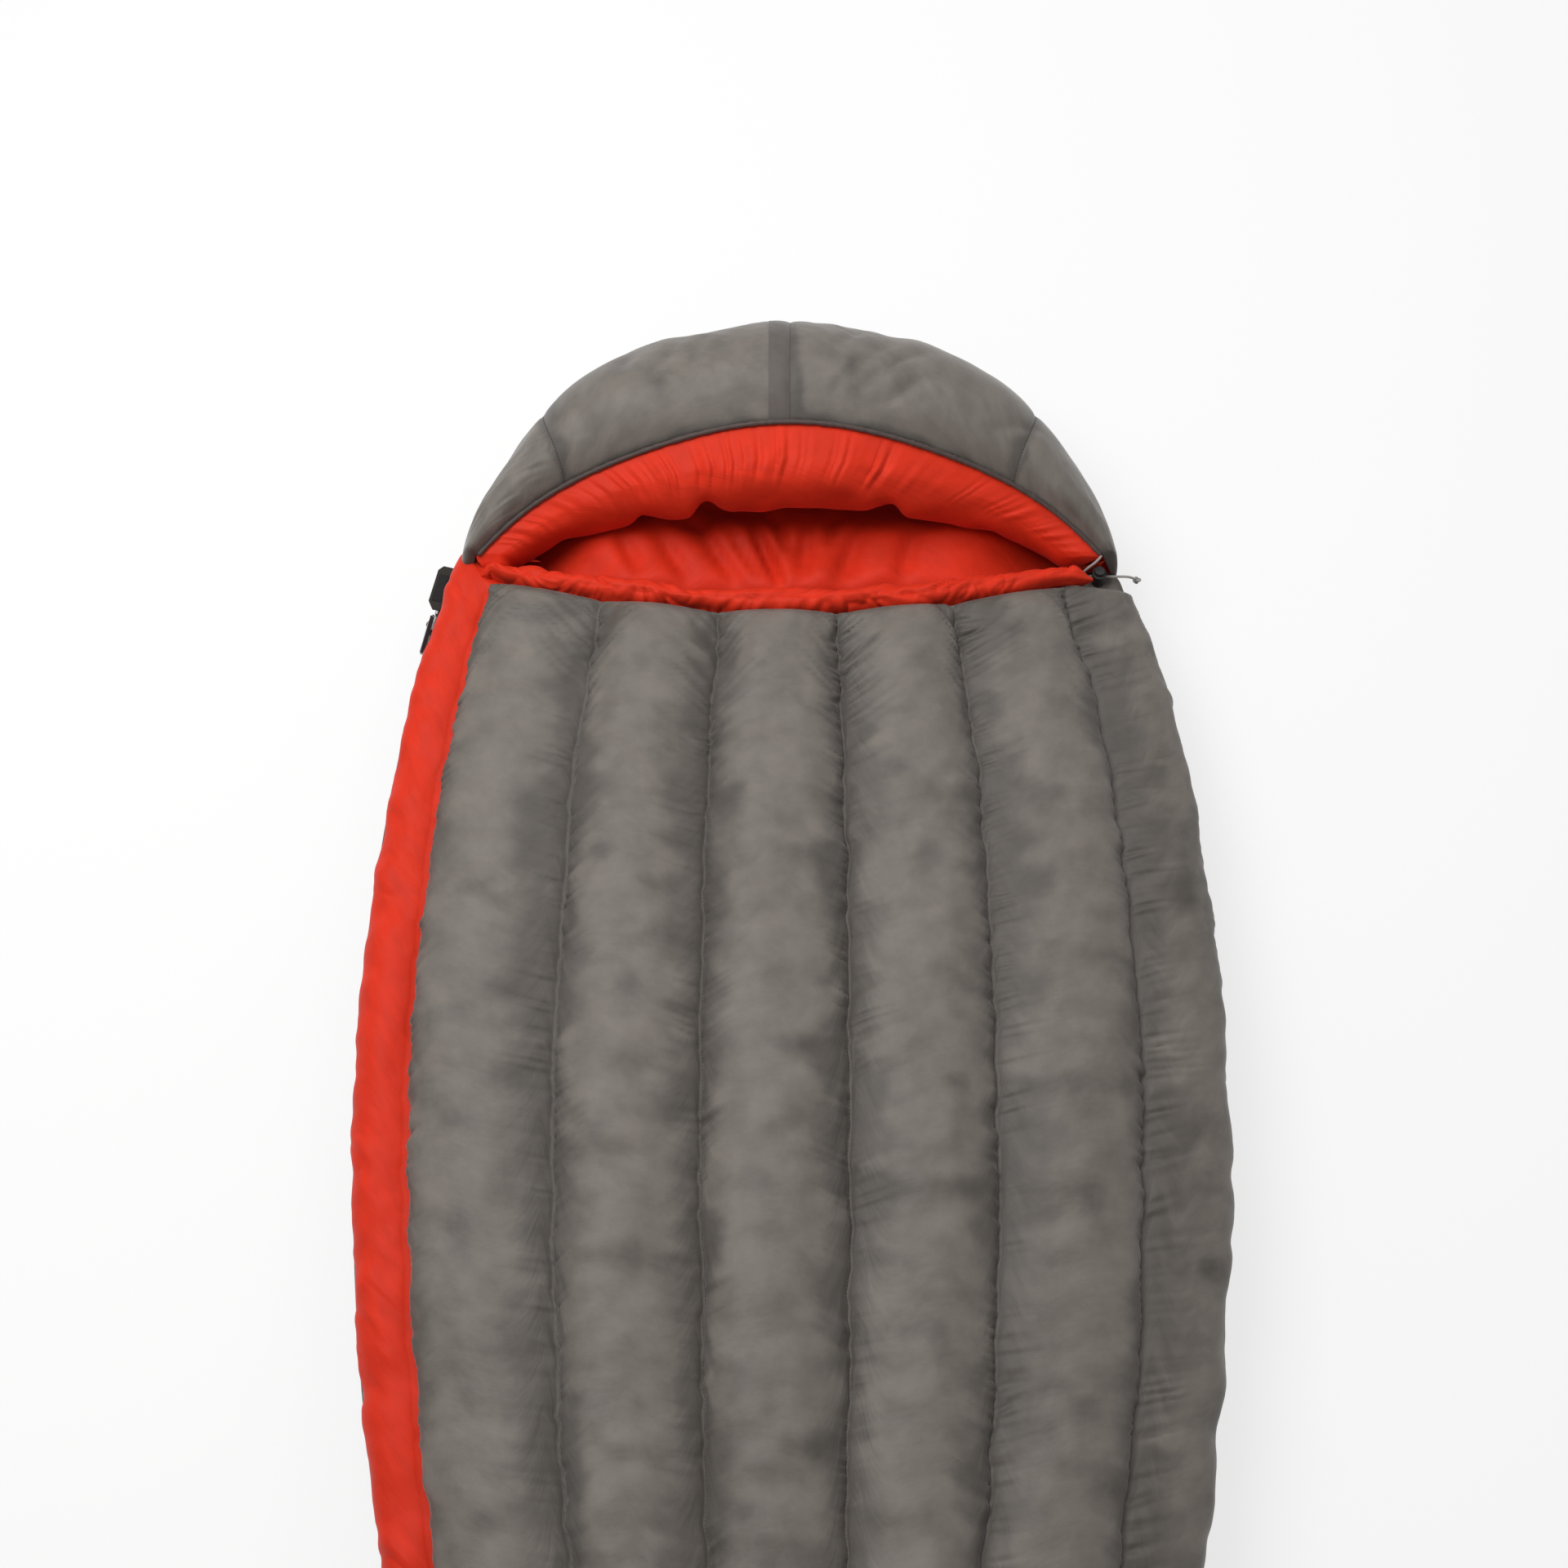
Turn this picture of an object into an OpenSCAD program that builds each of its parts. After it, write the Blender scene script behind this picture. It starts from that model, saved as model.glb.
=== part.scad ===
// Mummy sleeping bag lying on its back, open at the face, in millimetres.
// +Z is up from the floor, +Y runs from the foot to the hood, +X is the wearer's left.
// The zip runs along the -X side. Cloth skins are thicker than real cloth so that they are solids.

/* [Bag size] */
// Overall length from the foot end to the top of the hood
bag_length = 1930; // [1860:10:2040]
// Width between the two side seams at the shoulders
shoulder_width = 752; // [720:2:790]
// Width between the two side seams at the foot
foot_width = 410; // [370:2:450]
// Radius of the side curve in plan, which the zip follows
side_radius = 2000; // [1800:10:2300]
// Distance from the neck down to the widest place
shoulder_drop = 480; // [450:5:510]
// Height of the side seam and of the zip over the floor
seam_height = 78; // [74:1:86]
// Height of the top quilt over the chest
chest_height = 172; // [166:1:186]
// Height of the top quilt at its chest edge
edge_height = 150; // [146:1:160]
// Height of the top quilt at the foot
foot_height = 184; // [176:1:196]
// Depth of the padded end panel at the foot
cap_depth = 46; // [38:1:60]

/* [Quilting] */
// Number of stitch lines down the top
front_lines = 6; // [5:1:7]
// First stitch line as a share of the half width, beside the zip panel
line_first = -0.874; // [-0.89:0.001:-0.84]
// Last stitch line as a share of the half width
line_last = 0.808; // [0.78:0.001:0.84]
// Number of stitch lines down the back
back_lines = 4; // [3:1:5]
// Rise of a down channel between its stitch lines
puff_height = 18; // [12:1:22]
// Thickness of the top quilt at its stitch lines
front_thick = 36; // [30:1:40]
// Thickness of the quilt at the sides
side_thick = 38; // [32:1:44]
// Thickness of the back quilt
back_thick = 32; // [28:1:36]
// Depth of the stitch grooves under the back
groove = 6; // [4:0.5:8]
// Share of a top channel's height that the settled down fills
front_fill = 0.45; // [0.35:0.01:0.55]
// Share of a back channel's height that the settled down fills
back_fill = 0.7; // [0.5:0.01:0.8]
// Thickness of every cloth skin
cloth = 1; // [0.8:0.1:1.2]

/* [Hood] */
// Distance from the neck to the top of the hood
hood_length = 240; // [230:1:260]
// Distance from the neck down to the widest place of the hood's arch
arch_drop = 40; // [30:1:55]
// Inset of the hood's sides from the side seams at the neck
hood_inset = 10; // [8:1:24]
// Height of the hood crown
crown_height = 206; // [196:1:216]
// Half depth of the crown from its outer wall inward
crown_half = 87; // [82:1:96]
// Thickness of the hood wall
crown_thick = 42; // [36:1:46]
// Thickness of the pad under the head
head_pad = 36; // [32:1:40]
// Radius of the puffy roll round the face
roll_radius = 37; // [33:1:42]

/* [Chest edge] */
// Drop of the chest edge in the middle below its corners
chest_scoop = 52; // [45:1:64]
// Distance from the neck down to the chest edge corners
edge_drop = 14; // [13:1:18]
// Half thickness of the collar along the bag
collar_half = 14; // [11:1:18]

/* [Zip] */
// Distance from the neck down to the top of the zip
zip_top_drop = 37; // [36:1:50]
// Distance from the neck down to the lower end of the zip
zip_end_drop = 1020; // [980:10:1050]
// Half height of the open groove between the quilts at the zip
zip_gap = 8; // [8:0.5:10]
// Half clearance between the two rows of the zip coil
coil_gap = 0.8; // [0.8:0.05:1]
// Width of one coil row
coil_width = 2.6; // [2.2:0.1:3]
// Length of the zip slider
slider_length = 18; // [16:0.5:22]
// Width of the zip slider
slider_width = 11; // [10:0.5:12]
// Length of the slider pull
pull_length = 30; // [24:1:36]

/* [Closures] */
// Length of the neck tab along the side seam
tab_length = 46; // [38:1:52]
// Reach of the neck tab out of the side seam
tab_reach = 14; // [10:1:16]
// Diameter of the hood drawcord
cord_d = 2.4; // [2:0.1:3]
// Diameter of the cord lock body
lock_d = 13; // [12:0.5:15]
// Height of the cord lock body
lock_height = 17; // [16:0.5:20]
// Travel of the cord lock button
press_travel = 3; // [2:0.1:3]
// Radius of the hang loops at the foot
loop_radius = 14; // [13:0.5:16]

/* [Hidden] */
$fn = 48;
fit_gap = 0.3;
y_head = bag_length / 2;
y_foot = -bag_length / 2;
y_neck = y_head - hood_length;
y_wide = y_neck - shoulder_drop;
y_end = y_foot + cap_depth;
zip_top = y_neck - zip_top_drop;
zip_end = y_neck - zip_end_drop;
y_split = zip_end - 12;
y_close = y_split - 50;
edge_side = y_neck - edge_drop;
edge_mid = edge_side - chest_scoop;
top_power = 2 / 2.4;
low_power = 2 / 3.4;
upper_rows = 7;
lower_rows = 5;
rows = upper_rows + lower_rows;
arc_x = side_radius - shoulder_width / 2;
leg_run = y_split - y_end;
leg_start = arc_half(y_split);
leg_slope = (y_wide - y_split) / sqrt(pow(side_radius, 2) - pow(y_wide - y_split, 2));
neck_gap = 3.6;
arch_y = y_neck - arch_drop;
arch_long = y_head - arch_y;
arch_pinch = 0.1;
hood_start = asin((arch_drop + neck_gap) / arch_long);
hood_half = (half_width(y_neck) - hood_inset)
  / cos(hood_start) / (1 - arch_pinch * pow(sin(hood_start), 2));
lock_x = half_width(y_neck - 5) - 30;
lock_y = y_neck - 5;
lock_z = seam_height + fit_gap;
cord_z = lock_z + 9;
silver = [0.72, 0.72, 0.74];
grey_cloth = [0.45, 0.42, 0.40];
red_cloth = [0.78, 0.20, 0.13];
down_white = [0.93, 0.92, 0.88];
black = [0.08, 0.07, 0.07];

// Small helpers
function power(v, e) = sign(v) * pow(abs(v), e);
function ease(t) = t * t * (3 - 2 * t);
function limit(t) = min(1, max(0, t));
function unit(v) = v / norm(v);
function puff(t) = pow(max(0, sin(180 * t)), 0.7);

// Plan outline: one arc from the neck past the hips, then an easy curve to the foot
function arc_half(y) =
  shoulder_width / 2 - side_radius + sqrt(pow(side_radius, 2) - pow(y - y_wide, 2));
function leg_half(s) =
  (2 * pow(s, 3) - 3 * s * s + 1) * leg_start
  - (pow(s, 3) - 2 * s * s + s) * leg_slope * leg_run
  + (3 * s * s - 2 * pow(s, 3)) * foot_width / 2
  - (pow(s, 3) - s * s) * 0.12 * leg_run;
function half_width(y) = y >= y_split ? arc_half(y) : leg_half((y_split - y) / leg_run);

// Height of the top quilt along the bag
function top_height(y) =
  y > y_wide
  ? chest_height + (edge_height - chest_height) * ease(limit((y - y_wide) / (edge_mid - y_wide)))
  : chest_height + (foot_height - chest_height) * ease(limit((y_wide - y) / (y_wide - y_end)));

// Half opening at the side seam: wide over the zip, closed on the other side and below the zip
function seam_gap(u, y) =
  fit_gap / 2 + (zip_gap - fit_gap / 2) * (1 - u) / 2 * limit((y - y_close) / (y_split - y_close));

// Row stations along the bag, closer together at both ends
function row_y(start, i) =
  i <= upper_rows
  ? start + (y_split - start) * (1 - cos(90 * i / upper_rows))
  : y_close + (y_end - y_close) * sin(90 * (i - upper_rows - 1) / (lower_rows - 1));
function edge_y(u) = edge_mid + chest_scoop * u * u;

// Section of the top quilt at its stitch level, outside and inside
function top_u(a) = -power(cos(a), top_power);
function top_out(a, y) =
  let (u = top_u(a), s = pow(max(0, sin(a)), top_power), z = seam_height + seam_gap(u, y))
  [half_width(y) * u, y, z + (top_height(y) - puff_height - z) * s];
function top_in(a, y) =
  let (u = top_u(a), s = pow(max(0, sin(a)), top_power), z = seam_height + seam_gap(u, y))
  [(half_width(y) - side_thick) * u, y, z + (top_height(y) - puff_height - front_thick - z) * s];
function top_way(a, y) = unit(top_out(a, y) - top_in(a, y));
function top_span(a, y) = norm(top_out(a, y) - top_in(a, y));

// Section of the back quilt, flat on the floor in the middle
function low_u(a) = -power(cos(a), low_power);
function low_rise(a, z) = max(0, z * (1 - pow(max(0, sin(a)), low_power)) - 1.5) / (z - 1.5);
function low_out(a, y) =
  let (u = low_u(a), z = seam_height - seam_gap(u, y))
  [half_width(y) * u, y, z * low_rise(a, z)];
function low_in(a, y) =
  let (u = low_u(a), z = seam_height - seam_gap(u, y))
  [(half_width(y) - side_thick) * u, y, back_thick + (z - back_thick) * low_rise(a, z)];
function low_way(a, y) = unit(low_out(a, y) - low_in(a, y));
function low_span(a, y) = norm(low_out(a, y) - low_in(a, y));

// Stitch lines as angles round the section
function front_line(k) =
  k == 0 ? -1 : k > front_lines ? 1
  : line_first + (k - 1) * (line_last - line_first) / (front_lines - 1);
function front_turn(k) = acos(-power(front_line(k), 1 / top_power));
function back_turn(k) = acos(-power(-1 + 2 * k / (back_lines + 1), 1 / low_power));
function front_chord(c) =
  norm(top_out(front_turn(c + 1), y_wide) - top_out(front_turn(c), y_wide));
function back_chord(c) = norm(low_out(back_turn(c + 1), y_wide) - low_out(back_turn(c), y_wide));
function front_angle(c, t) = front_turn(c) + t * (front_turn(c + 1) - front_turn(c));
function back_angle(c, t) = back_turn(c) + t * (back_turn(c + 1) - back_turn(c));
function front_rise(c) = puff_height * min(1, front_chord(c) / front_chord(2));

// Share of a channel's width, drawn in at stitch lines but not at the side seams
function inset(j, n, first, last, d) = (first ? 0 : d) + (1 - (first ? 0 : d) - (last ? 0 : d)) * j / n;
function front_share(c, j, n, d) = inset(j, n, c == 0, c == front_lines, d / front_chord(c));
function back_share(c, j, n, d) = inset(j, n, c == 0, c == back_lines, d / back_chord(c));

// Points of the top quilt: the puffed outer skin, and any depth over the lining
function soft_end(d) = let (e = limit(d / 60)) sqrt(e * (2 - e));
function front_skin(c, t, i, depth) =
  let (a = front_angle(c, t), y = row_y(edge_y(top_u(a)), i))
  let (far = min(edge_y(top_u(a)) - y, y - y_end))
  top_out(a, y) + top_way(a, y) * (front_rise(c) * puff(t) * soft_end(far) - depth);
function front_under(a, i, depth) =
  let (y = row_y(edge_y(top_u(a)), i))
  top_in(a, y) + top_way(a, y) * depth;
function front_room(a, i) =
  top_span(a, row_y(edge_y(top_u(a)), i)) - 2 * (cloth + fit_gap);

// Points of the back quilt
function back_soft(c, t) = c == 0 ? 0.5 + t / 2 : c == back_lines ? t / 2 : t;
function back_skin(c, t, i, depth) =
  let (a = back_angle(c, t), y = row_y(y_neck, i))
  low_out(a, y) - low_way(a, y) * (groove * max(0, 1 - 1.3 * puff(back_soft(c, t))) + depth);
function back_under(a, i, depth) =
  let (y = row_y(y_neck, i))
  low_in(a, y) + low_way(a, y) * depth;
function back_room(a, i) = low_span(a, row_y(y_neck, i)) - groove - 2 * (cloth + fit_gap);

// Faces of a solid between two grids of points, counted from one start index
function spot(start, count, cols, side, i, j) = start + side * count + i * cols + j % cols;
function grid_quads(start, rows, cols, closed, disc) =
  let (n = rows * cols, last = closed ? cols : cols - 1, r = rows - 1, c = cols - 1)
  concat(
    [for (i = [0:r - 1], j = [0:last - 1])
      [for (p = [[i, j], [i, j + 1], [i + 1, j + 1], [i + 1, j]]) spot(start, n, cols, 0, p[0], p[1])]],
    [for (i = [0:r - 1], j = [0:last - 1])
      [for (p = [[i, j], [i + 1, j], [i + 1, j + 1], [i, j + 1]]) spot(start, n, cols, 1, p[0], p[1])]],
    [for (j = [0:last - 1])
      [for (p = [[0, j + 1], [0, j], [1, j], [1, j + 1]]) spot(start, n, cols, p[0], 0, p[1])]],
    disc ? [] : [for (j = [0:last - 1])
      [for (p = [[0, j], [0, j + 1], [1, j + 1], [1, j]]) spot(start, n, cols, p[0], r, p[1])]],
    closed ? [] : [for (i = [0:r - 1])
      [for (p = [[0, i], [0, i + 1], [1, i + 1], [1, i]]) spot(start, n, cols, p[0], p[1], 0)]],
    closed ? [] : [for (i = [0:r - 1])
      [for (p = [[0, i + 1], [0, i], [1, i], [1, i + 1]]) spot(start, n, cols, p[0], p[1], c)]]
  );
function halves(quads) = [for (q = quads) each [[q[0], q[1], q[2]], [q[0], q[2], q[3]]]];
function flat_list(grids) = [for (g = grids) each [for (row = g) each row]];

// Several separate solids of one grid size, each between an outer and an inner grid
module blocks(pairs, closed = false, disc = false) {
  r = len(pairs[0][0]);
  c = len(pairs[0][0][0]);
  walls = [for (k = [0:len(pairs) - 1]) each halves(grid_quads(2 * k * r * c, r, c, closed, disc))];
  ends = disc ? [[for (j = [0:c - 1]) (r - 1) * c + j], [for (j = [c - 1:-1:0]) (2 * r - 1) * c + j]] : [];
  polyhedron([for (p = pairs) each flat_list(p)], concat(walls, ends), convexity = 8);
}

// One solid swept through rings of points
module swept(rings) {
  r = len(rings);
  c = len(rings[0]);
  walls = [for (i = [0:r - 2], j = [0:c - 1]) each
    let (n = (j + 1) % c)
    [[i * c + j, i * c + n, i * c + c + n], [i * c + j, i * c + c + n, i * c + c + j]]];
  first = [for (j = [c - 1:-1:0]) j];
  last = [for (j = [0:c - 1]) (r - 1) * c + j];
  polyhedron([for (ring = rings) each ring], concat(walls, [first, last]), convexity = 8);
}

// Top quilt: puffed shell channels, red panel beside the zip, inner walls, down and lining
function front_strip(c) = [
  [for (i = [0:rows]) [for (j = [0:5]) front_skin(c, front_share(c, j, 5, 0.2), i, 0)]],
  [for (i = [0:rows]) [for (j = [0:5]) front_skin(c, front_share(c, j, 5, 0.2), i, cloth)]]
];
module front_shell() color(grey_cloth) blocks([for (c = [1:front_lines]) front_strip(c)]);
module zip_side_panel() color(red_cloth) blocks([front_strip(0)]);

function front_wall(k) =
  let (a = front_turn(k), turn = front_turn(k + 1) - front_turn(k - 1))
  let (d = 0.6 * turn / (front_chord(k) + front_chord(k - 1)))
  [
    [for (i = [0:rows]) [for (e = [-d, d])
      front_under(a + e, i, front_room(a + e, i) + cloth + fit_gap)]],
    [for (i = [0:rows]) [for (e = [-d, d]) front_under(a + e, i, cloth + fit_gap)]]
  ];
module front_baffles() color(down_white) blocks([for (k = [1:front_lines]) front_wall(k)]);

function front_column(c) = [
  [for (i = [0:rows]) [for (j = [0:3])
    let (t = front_share(c, j, 3, 1.2), a = front_angle(c, t))
    front_under(a, i, cloth + fit_gap + front_room(a, i) * front_fill * (1 + 0.25 * puff(t)))]],
  [for (i = [0:rows]) [for (j = [0:3])
    front_under(front_angle(c, front_share(c, j, 3, 1.2)), i, cloth + fit_gap)]]
];
module front_down() color(down_white) blocks([for (c = [0:front_lines]) front_column(c)]);

front_stations = concat([for (c = [0:front_lines], j = [0:2]) front_angle(c, j / 3)], [180]);
module front_lining() color(red_cloth) blocks([[
  [for (i = [0:rows]) [for (a = front_stations) front_under(a, i, cloth)]],
  [for (i = [0:rows]) [for (a = front_stations) front_under(a, i, 0)]]
]]);

// Back quilt, with its grids turned over so that the outer skin faces down
function mirrored(grid) = [for (row = grid) [for (j = [len(row) - 1:-1:0]) row[j]]];
function back_strip(c) = [
  mirrored([for (i = [0:rows]) [for (j = [0:4]) back_skin(c, back_share(c, j, 4, 0.2), i, 0)]]),
  mirrored([for (i = [0:rows]) [for (j = [0:4]) back_skin(c, back_share(c, j, 4, 0.2), i, cloth)]])
];
module back_shell() color(grey_cloth) blocks([for (c = [0:back_lines]) back_strip(c)]);

function back_wall(k) =
  let (a = back_turn(k), turn = back_turn(k + 1) - back_turn(k - 1))
  let (d = 0.6 * turn / (back_chord(k) + back_chord(k - 1)))
  [
    mirrored([for (i = [0:rows]) [for (e = [-d, d])
      back_under(a + e, i, back_room(a + e, i) + cloth + fit_gap)]]),
    mirrored([for (i = [0:rows]) [for (e = [-d, d]) back_under(a + e, i, cloth + fit_gap)]])
  ];
module back_baffles() color(down_white) blocks([for (k = [1:back_lines]) back_wall(k)]);

function back_column(c) = [
  mirrored([for (i = [0:rows]) [for (j = [0:3])
    let (a = back_angle(c, back_share(c, j, 3, 1.2)))
    back_under(a, i, cloth + fit_gap + back_room(a, i) * back_fill)]]),
  mirrored([for (i = [0:rows]) [for (j = [0:3])
    back_under(back_angle(c, back_share(c, j, 3, 1.2)), i, cloth + fit_gap)]])
];
module back_down() color(down_white) blocks([for (c = [0:back_lines]) back_column(c)]);

back_stations = concat([for (c = [0:back_lines], j = [0:2]) back_angle(c, j / 3)], [180]);
module back_lining() color(red_cloth) blocks([[
  mirrored([for (i = [0:rows]) [for (a = back_stations) back_under(a, i, cloth)]]),
  mirrored([for (i = [0:rows]) [for (a = back_stations) back_under(a, i, 0)]])
]]);

// Padded oval end panel at the foot, built in rings from its rim to its middle
cap_loop = concat(
  [for (a = [0:15:180]) top_out(a, y_end)],
  [for (a = [165:-15:15]) low_out(a, y_end)]
);
cap_middle = [0, y_end, foot_height * 0.46];
function cap_ring(s, depth) =
  [for (p = cap_loop) cap_middle + s * (p - cap_middle) - [0, depth, 0]];
cap_steps = [1, 0.9, 0.7, 0.45, 0.15];
function cap_out(s) = 6 + (cap_depth - 6) * sqrt(1 - s * s);
module foot_shell() color(grey_cloth) blocks([[
  [for (s = cap_steps) cap_ring(s, cap_out(s))],
  [for (s = cap_steps) cap_ring(s, cap_out(s) - cloth)]
]], true, true);
module foot_down() color(down_white) blocks([[
  [for (s = cap_steps) cap_ring(s, cap_out(s) - cloth - fit_gap)],
  [for (s = cap_steps) cap_ring(s, cloth + 2 * fit_gap)]
]], true, true);
module foot_lining() color(red_cloth) blocks([[
  [for (s = cap_steps) cap_ring(s, cloth + fit_gap)],
  [for (s = cap_steps) cap_ring(s, fit_gap)]
]], true, true);

// Hood: a pinched arch in plan, with a section that turns with it and shrinks to the neck corners
function arch(f) =
  [-hood_half * cos(f) * (1 - arch_pinch * pow(sin(f), 2)), arch_y + arch_long * sin(f), 0];
function arch_way(f) =
  let (t = (f - hood_start) / (180 - 2 * hood_start), g = 180 * t + 12 * sin(360 * t))
  [-cos(g), sin(g), 0];
function arch_share(f) =
  max(0, sin(90 * (f <= 90 ? f - hood_start : 180 - hood_start - f) / (90 - hood_start)));
function deep(f) = crown_half * (0.12 + 0.88 * pow(arch_share(f), 0.9));
function tall(f) = crown_height / 2 * (0.6 + 0.4 * arch_share(f));
function plump(f) = 0.5 + 0.5 * pow(arch_share(f), 0.6);
function wall_thick(f) = min(crown_thick * plump(f), 0.6 * deep(f));
function hood_at(f, r, z) = arch(f) + arch_way(f) * r + [0, 0, z];

// Four crown panels; the side seams lean towards the neck on their way up to the rim
rim_turn = 125;
seam_side = 39;
seam_lean = 9.5;
function hood_seam(k, a) =
  k == 0 ? hood_start : k == 4 ? 180 - hood_start : k == 2 ? 90
  : 90 + (k - 2) * (90 - seam_side + seam_lean * limit(a / rim_turn));
function panel_puff(f, a) =
  let (k = f < hood_seam(1, a) ? 0 : f < 90 ? 1 : f < hood_seam(3, a) ? 2 : 3)
  puff((f - hood_seam(k, a)) / (hood_seam(k + 1, a) - hood_seam(k, a)))
  * limit((rim_turn - a) / 40) * limit((a + 75) / 40);
function crown_out(f, a) =
  let (p = 7 * panel_puff(f, a) * plump(f))
  hood_at(f, deep(f) * (cos(a) - 1) + p * cos(a), tall(f) * (1 + sin(a)) + p * sin(a));
function crown_in(f, a) =
  hood_at(f, -deep(f) + (deep(f) - wall_thick(f)) * cos(a),
    tall(f) + (tall(f) - wall_thick(f) - 3) * sin(a));
function crown_way(f, a) = unit(crown_out(f, a) - crown_in(f, a));
crown_turns = [for (k = [0:7]) -75 + (rim_turn + 75) * k / 7];
function panel_turns(k, a) =
  let (b = hood_seam(k, a) + (k > 0 ? 0.05 : 0), c = hood_seam(k + 1, a) - (k < 3 ? 0.05 : 0))
  [for (j = [0:6]) b + (c - b) * j / 6];
function arch_turns(a) = concat([for (k = [0:3], j = [0:5]) panel_turns(k, a)[j]], [180 - hood_start]);
function panel_grid(k, depth) = [for (a = crown_turns) [for (f = panel_turns(k, a))
  crown_out(f, a) - depth * crown_way(f, a)]];
function inner_grid(k, depth) = [for (a = crown_turns) [for (f = panel_turns(k, a))
  crown_in(f, a) + depth * crown_way(f, a)]];
module hood_panel(k) blocks([[panel_grid(k, 0), panel_grid(k, cloth)]]);
module hood_side_left() color(grey_cloth) hood_panel(0);
module hood_crown_left() color(grey_cloth) hood_panel(1);
module hood_crown_right() color(grey_cloth) hood_panel(2);
module hood_side_right() color(grey_cloth) hood_panel(3);
module hood_crown_down() color(down_white)
  blocks([for (k = [0:3]) [panel_grid(k, cloth + fit_gap), inner_grid(k, cloth + fit_gap)]]);
module hood_lining() color(red_cloth) blocks([[
  [for (a = crown_turns) [for (f = arch_turns(a)) crown_in(f, a) + cloth * crown_way(f, a)]],
  [for (a = crown_turns) [for (f = arch_turns(a)) crown_in(f, a)]]
]]);

// Pad under the head, between the back quilt and the foot of the hood wall
function pad_rim(f, z) =
  let (low = deep(f) * (cos(75) - 1), high = -deep(f) + (deep(f) - wall_thick(f)) * cos(75))
  let (top = tall(f) - (tall(f) - wall_thick(f) - 3) * sin(75))
  hood_at(f, low + (high - low) * limit(z / top) - 2.5, z);
function pad_grid(z) = [for (i = [0:3]) [for (f = arch_turns(0))
  let (p = pad_rim(f, z), y = y_neck + fit_gap) [p[0], p[1] + (y - p[1]) * i / 3, z]]];
module hood_pad_shell() color(grey_cloth) blocks([[pad_grid(cloth), pad_grid(0)]]);
module hood_pad_down() color(down_white)
  blocks([[pad_grid(head_pad - cloth - fit_gap), pad_grid(cloth + fit_gap)]]);
module hood_pad_lining() color(red_cloth) blocks([[pad_grid(head_pad), pad_grid(head_pad - cloth)]]);

// Puffy roll round the face opening, hung on the end of the crown
function rim_out(f) = [deep(f) * (cos(rim_turn) - 1), tall(f) * (1 + sin(rim_turn))];
function rim_in(f) =
  [-deep(f) + (deep(f) - wall_thick(f)) * cos(rim_turn),
   tall(f) + (tall(f) - wall_thick(f) - 3) * sin(rim_turn)];
function roll_mid(f) = rim_out(f) + plump(f) * [-0.68, -1] * roll_radius;
function roll_spot(f, a) = roll_mid(f) + plump(f) * roll_radius * [cos(a), sin(a)];
function roll_loop(f) = concat(
  [for (a = [200:-30:110]) roll_spot(f, a)],
  [rim_out(f), rim_in(f)],
  [for (a = [290:-30:230]) roll_spot(f, a)]
);
function roll_ring(f, depth) =
  let (m = roll_mid(f) + [4, 2] * plump(f), c = hood_at(f, m[0] - 0.5, m[1]))
  [for (p = roll_loop(f))
    let (q = hood_at(f, p[0] - 0.5, p[1]))
    q - unit(q - c) * depth];
rim_turns = arch_turns(rim_turn);
module face_roll_sleeve() color(red_cloth) blocks([[
  [for (f = rim_turns) roll_ring(f, 0)],
  [for (f = rim_turns) roll_ring(f, cloth)]
]], true);
module face_roll_down() color(down_white) swept([for (f = rim_turns) roll_ring(f, cloth + fit_gap)]);

// Drawcord in its tunnel, laid in the valley between the crown panels and the roll
tunnel_r = cord_d / 2 + 1.4;
function rim_spot(f) =
  let (wall = unit([cos(rim_turn) / deep(f), sin(rim_turn) / tall(f)]))
  let (run = unit(rim_out(f) - roll_spot(f, 110)), up = unit(wall + [-run[1], run[0]]))
  rim_out(f) + up * (tunnel_r + 0.5) / (up * wall);
function rim_ring(f, r) =
  [for (a = [0:60:300]) let (c = rim_spot(f)) hood_at(f, c[0] + r * sin(a), c[1] + r * cos(a))];
module rim_tunnel() color(grey_cloth) blocks([[
  [for (f = rim_turns) rim_ring(f, tunnel_r)],
  [for (f = rim_turns) rim_ring(f, cord_d / 2 + 0.5)]
]], true);
module hood_drawcord() color(grey_cloth) swept([for (f = rim_turns) rim_ring(f, cord_d / 2)]);

// Loose end of the drawcord: out of the rim, down, level through the cord lock and over the side
tail_start =
  let (f = 180 - hood_start, c = rim_spot(f)) hood_at(f, c[0], c[1]) - [0, fit_gap, 0];
tail_knots = [
  tail_start, tail_start + [-1, -8, 0],
  [lock_x - 26, lock_y, cord_z + 4], [lock_x - lock_d / 2 - 3, lock_y, cord_z]
];
function tail_curve(t) =
  pow(1 - t, 3) * tail_knots[0] + 3 * t * pow(1 - t, 2) * tail_knots[1]
  + 3 * t * t * (1 - t) * tail_knots[2] + pow(t, 3) * tail_knots[3];
tail_points = concat(
  [for (k = [0:9]) tail_curve(k / 9)],
  [for (d = [[26, 0], [31, -2], [35, -6]]) [lock_x + d[0], lock_y, cord_z + d[1]]]
);
function cord_ring(p, d, r) =
  let (s = unit(cross([0, 1, 0.02], d)), t = cross(d, s))
  [for (a = [0:45:315]) p + r * (cos(a) * s + sin(a) * t)];
tail_last = len(tail_points) - 1;
function tail_way(k) =
  unit(tail_points[min(tail_last, k + 1)] - tail_points[max(0, k - 1)]);
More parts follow.
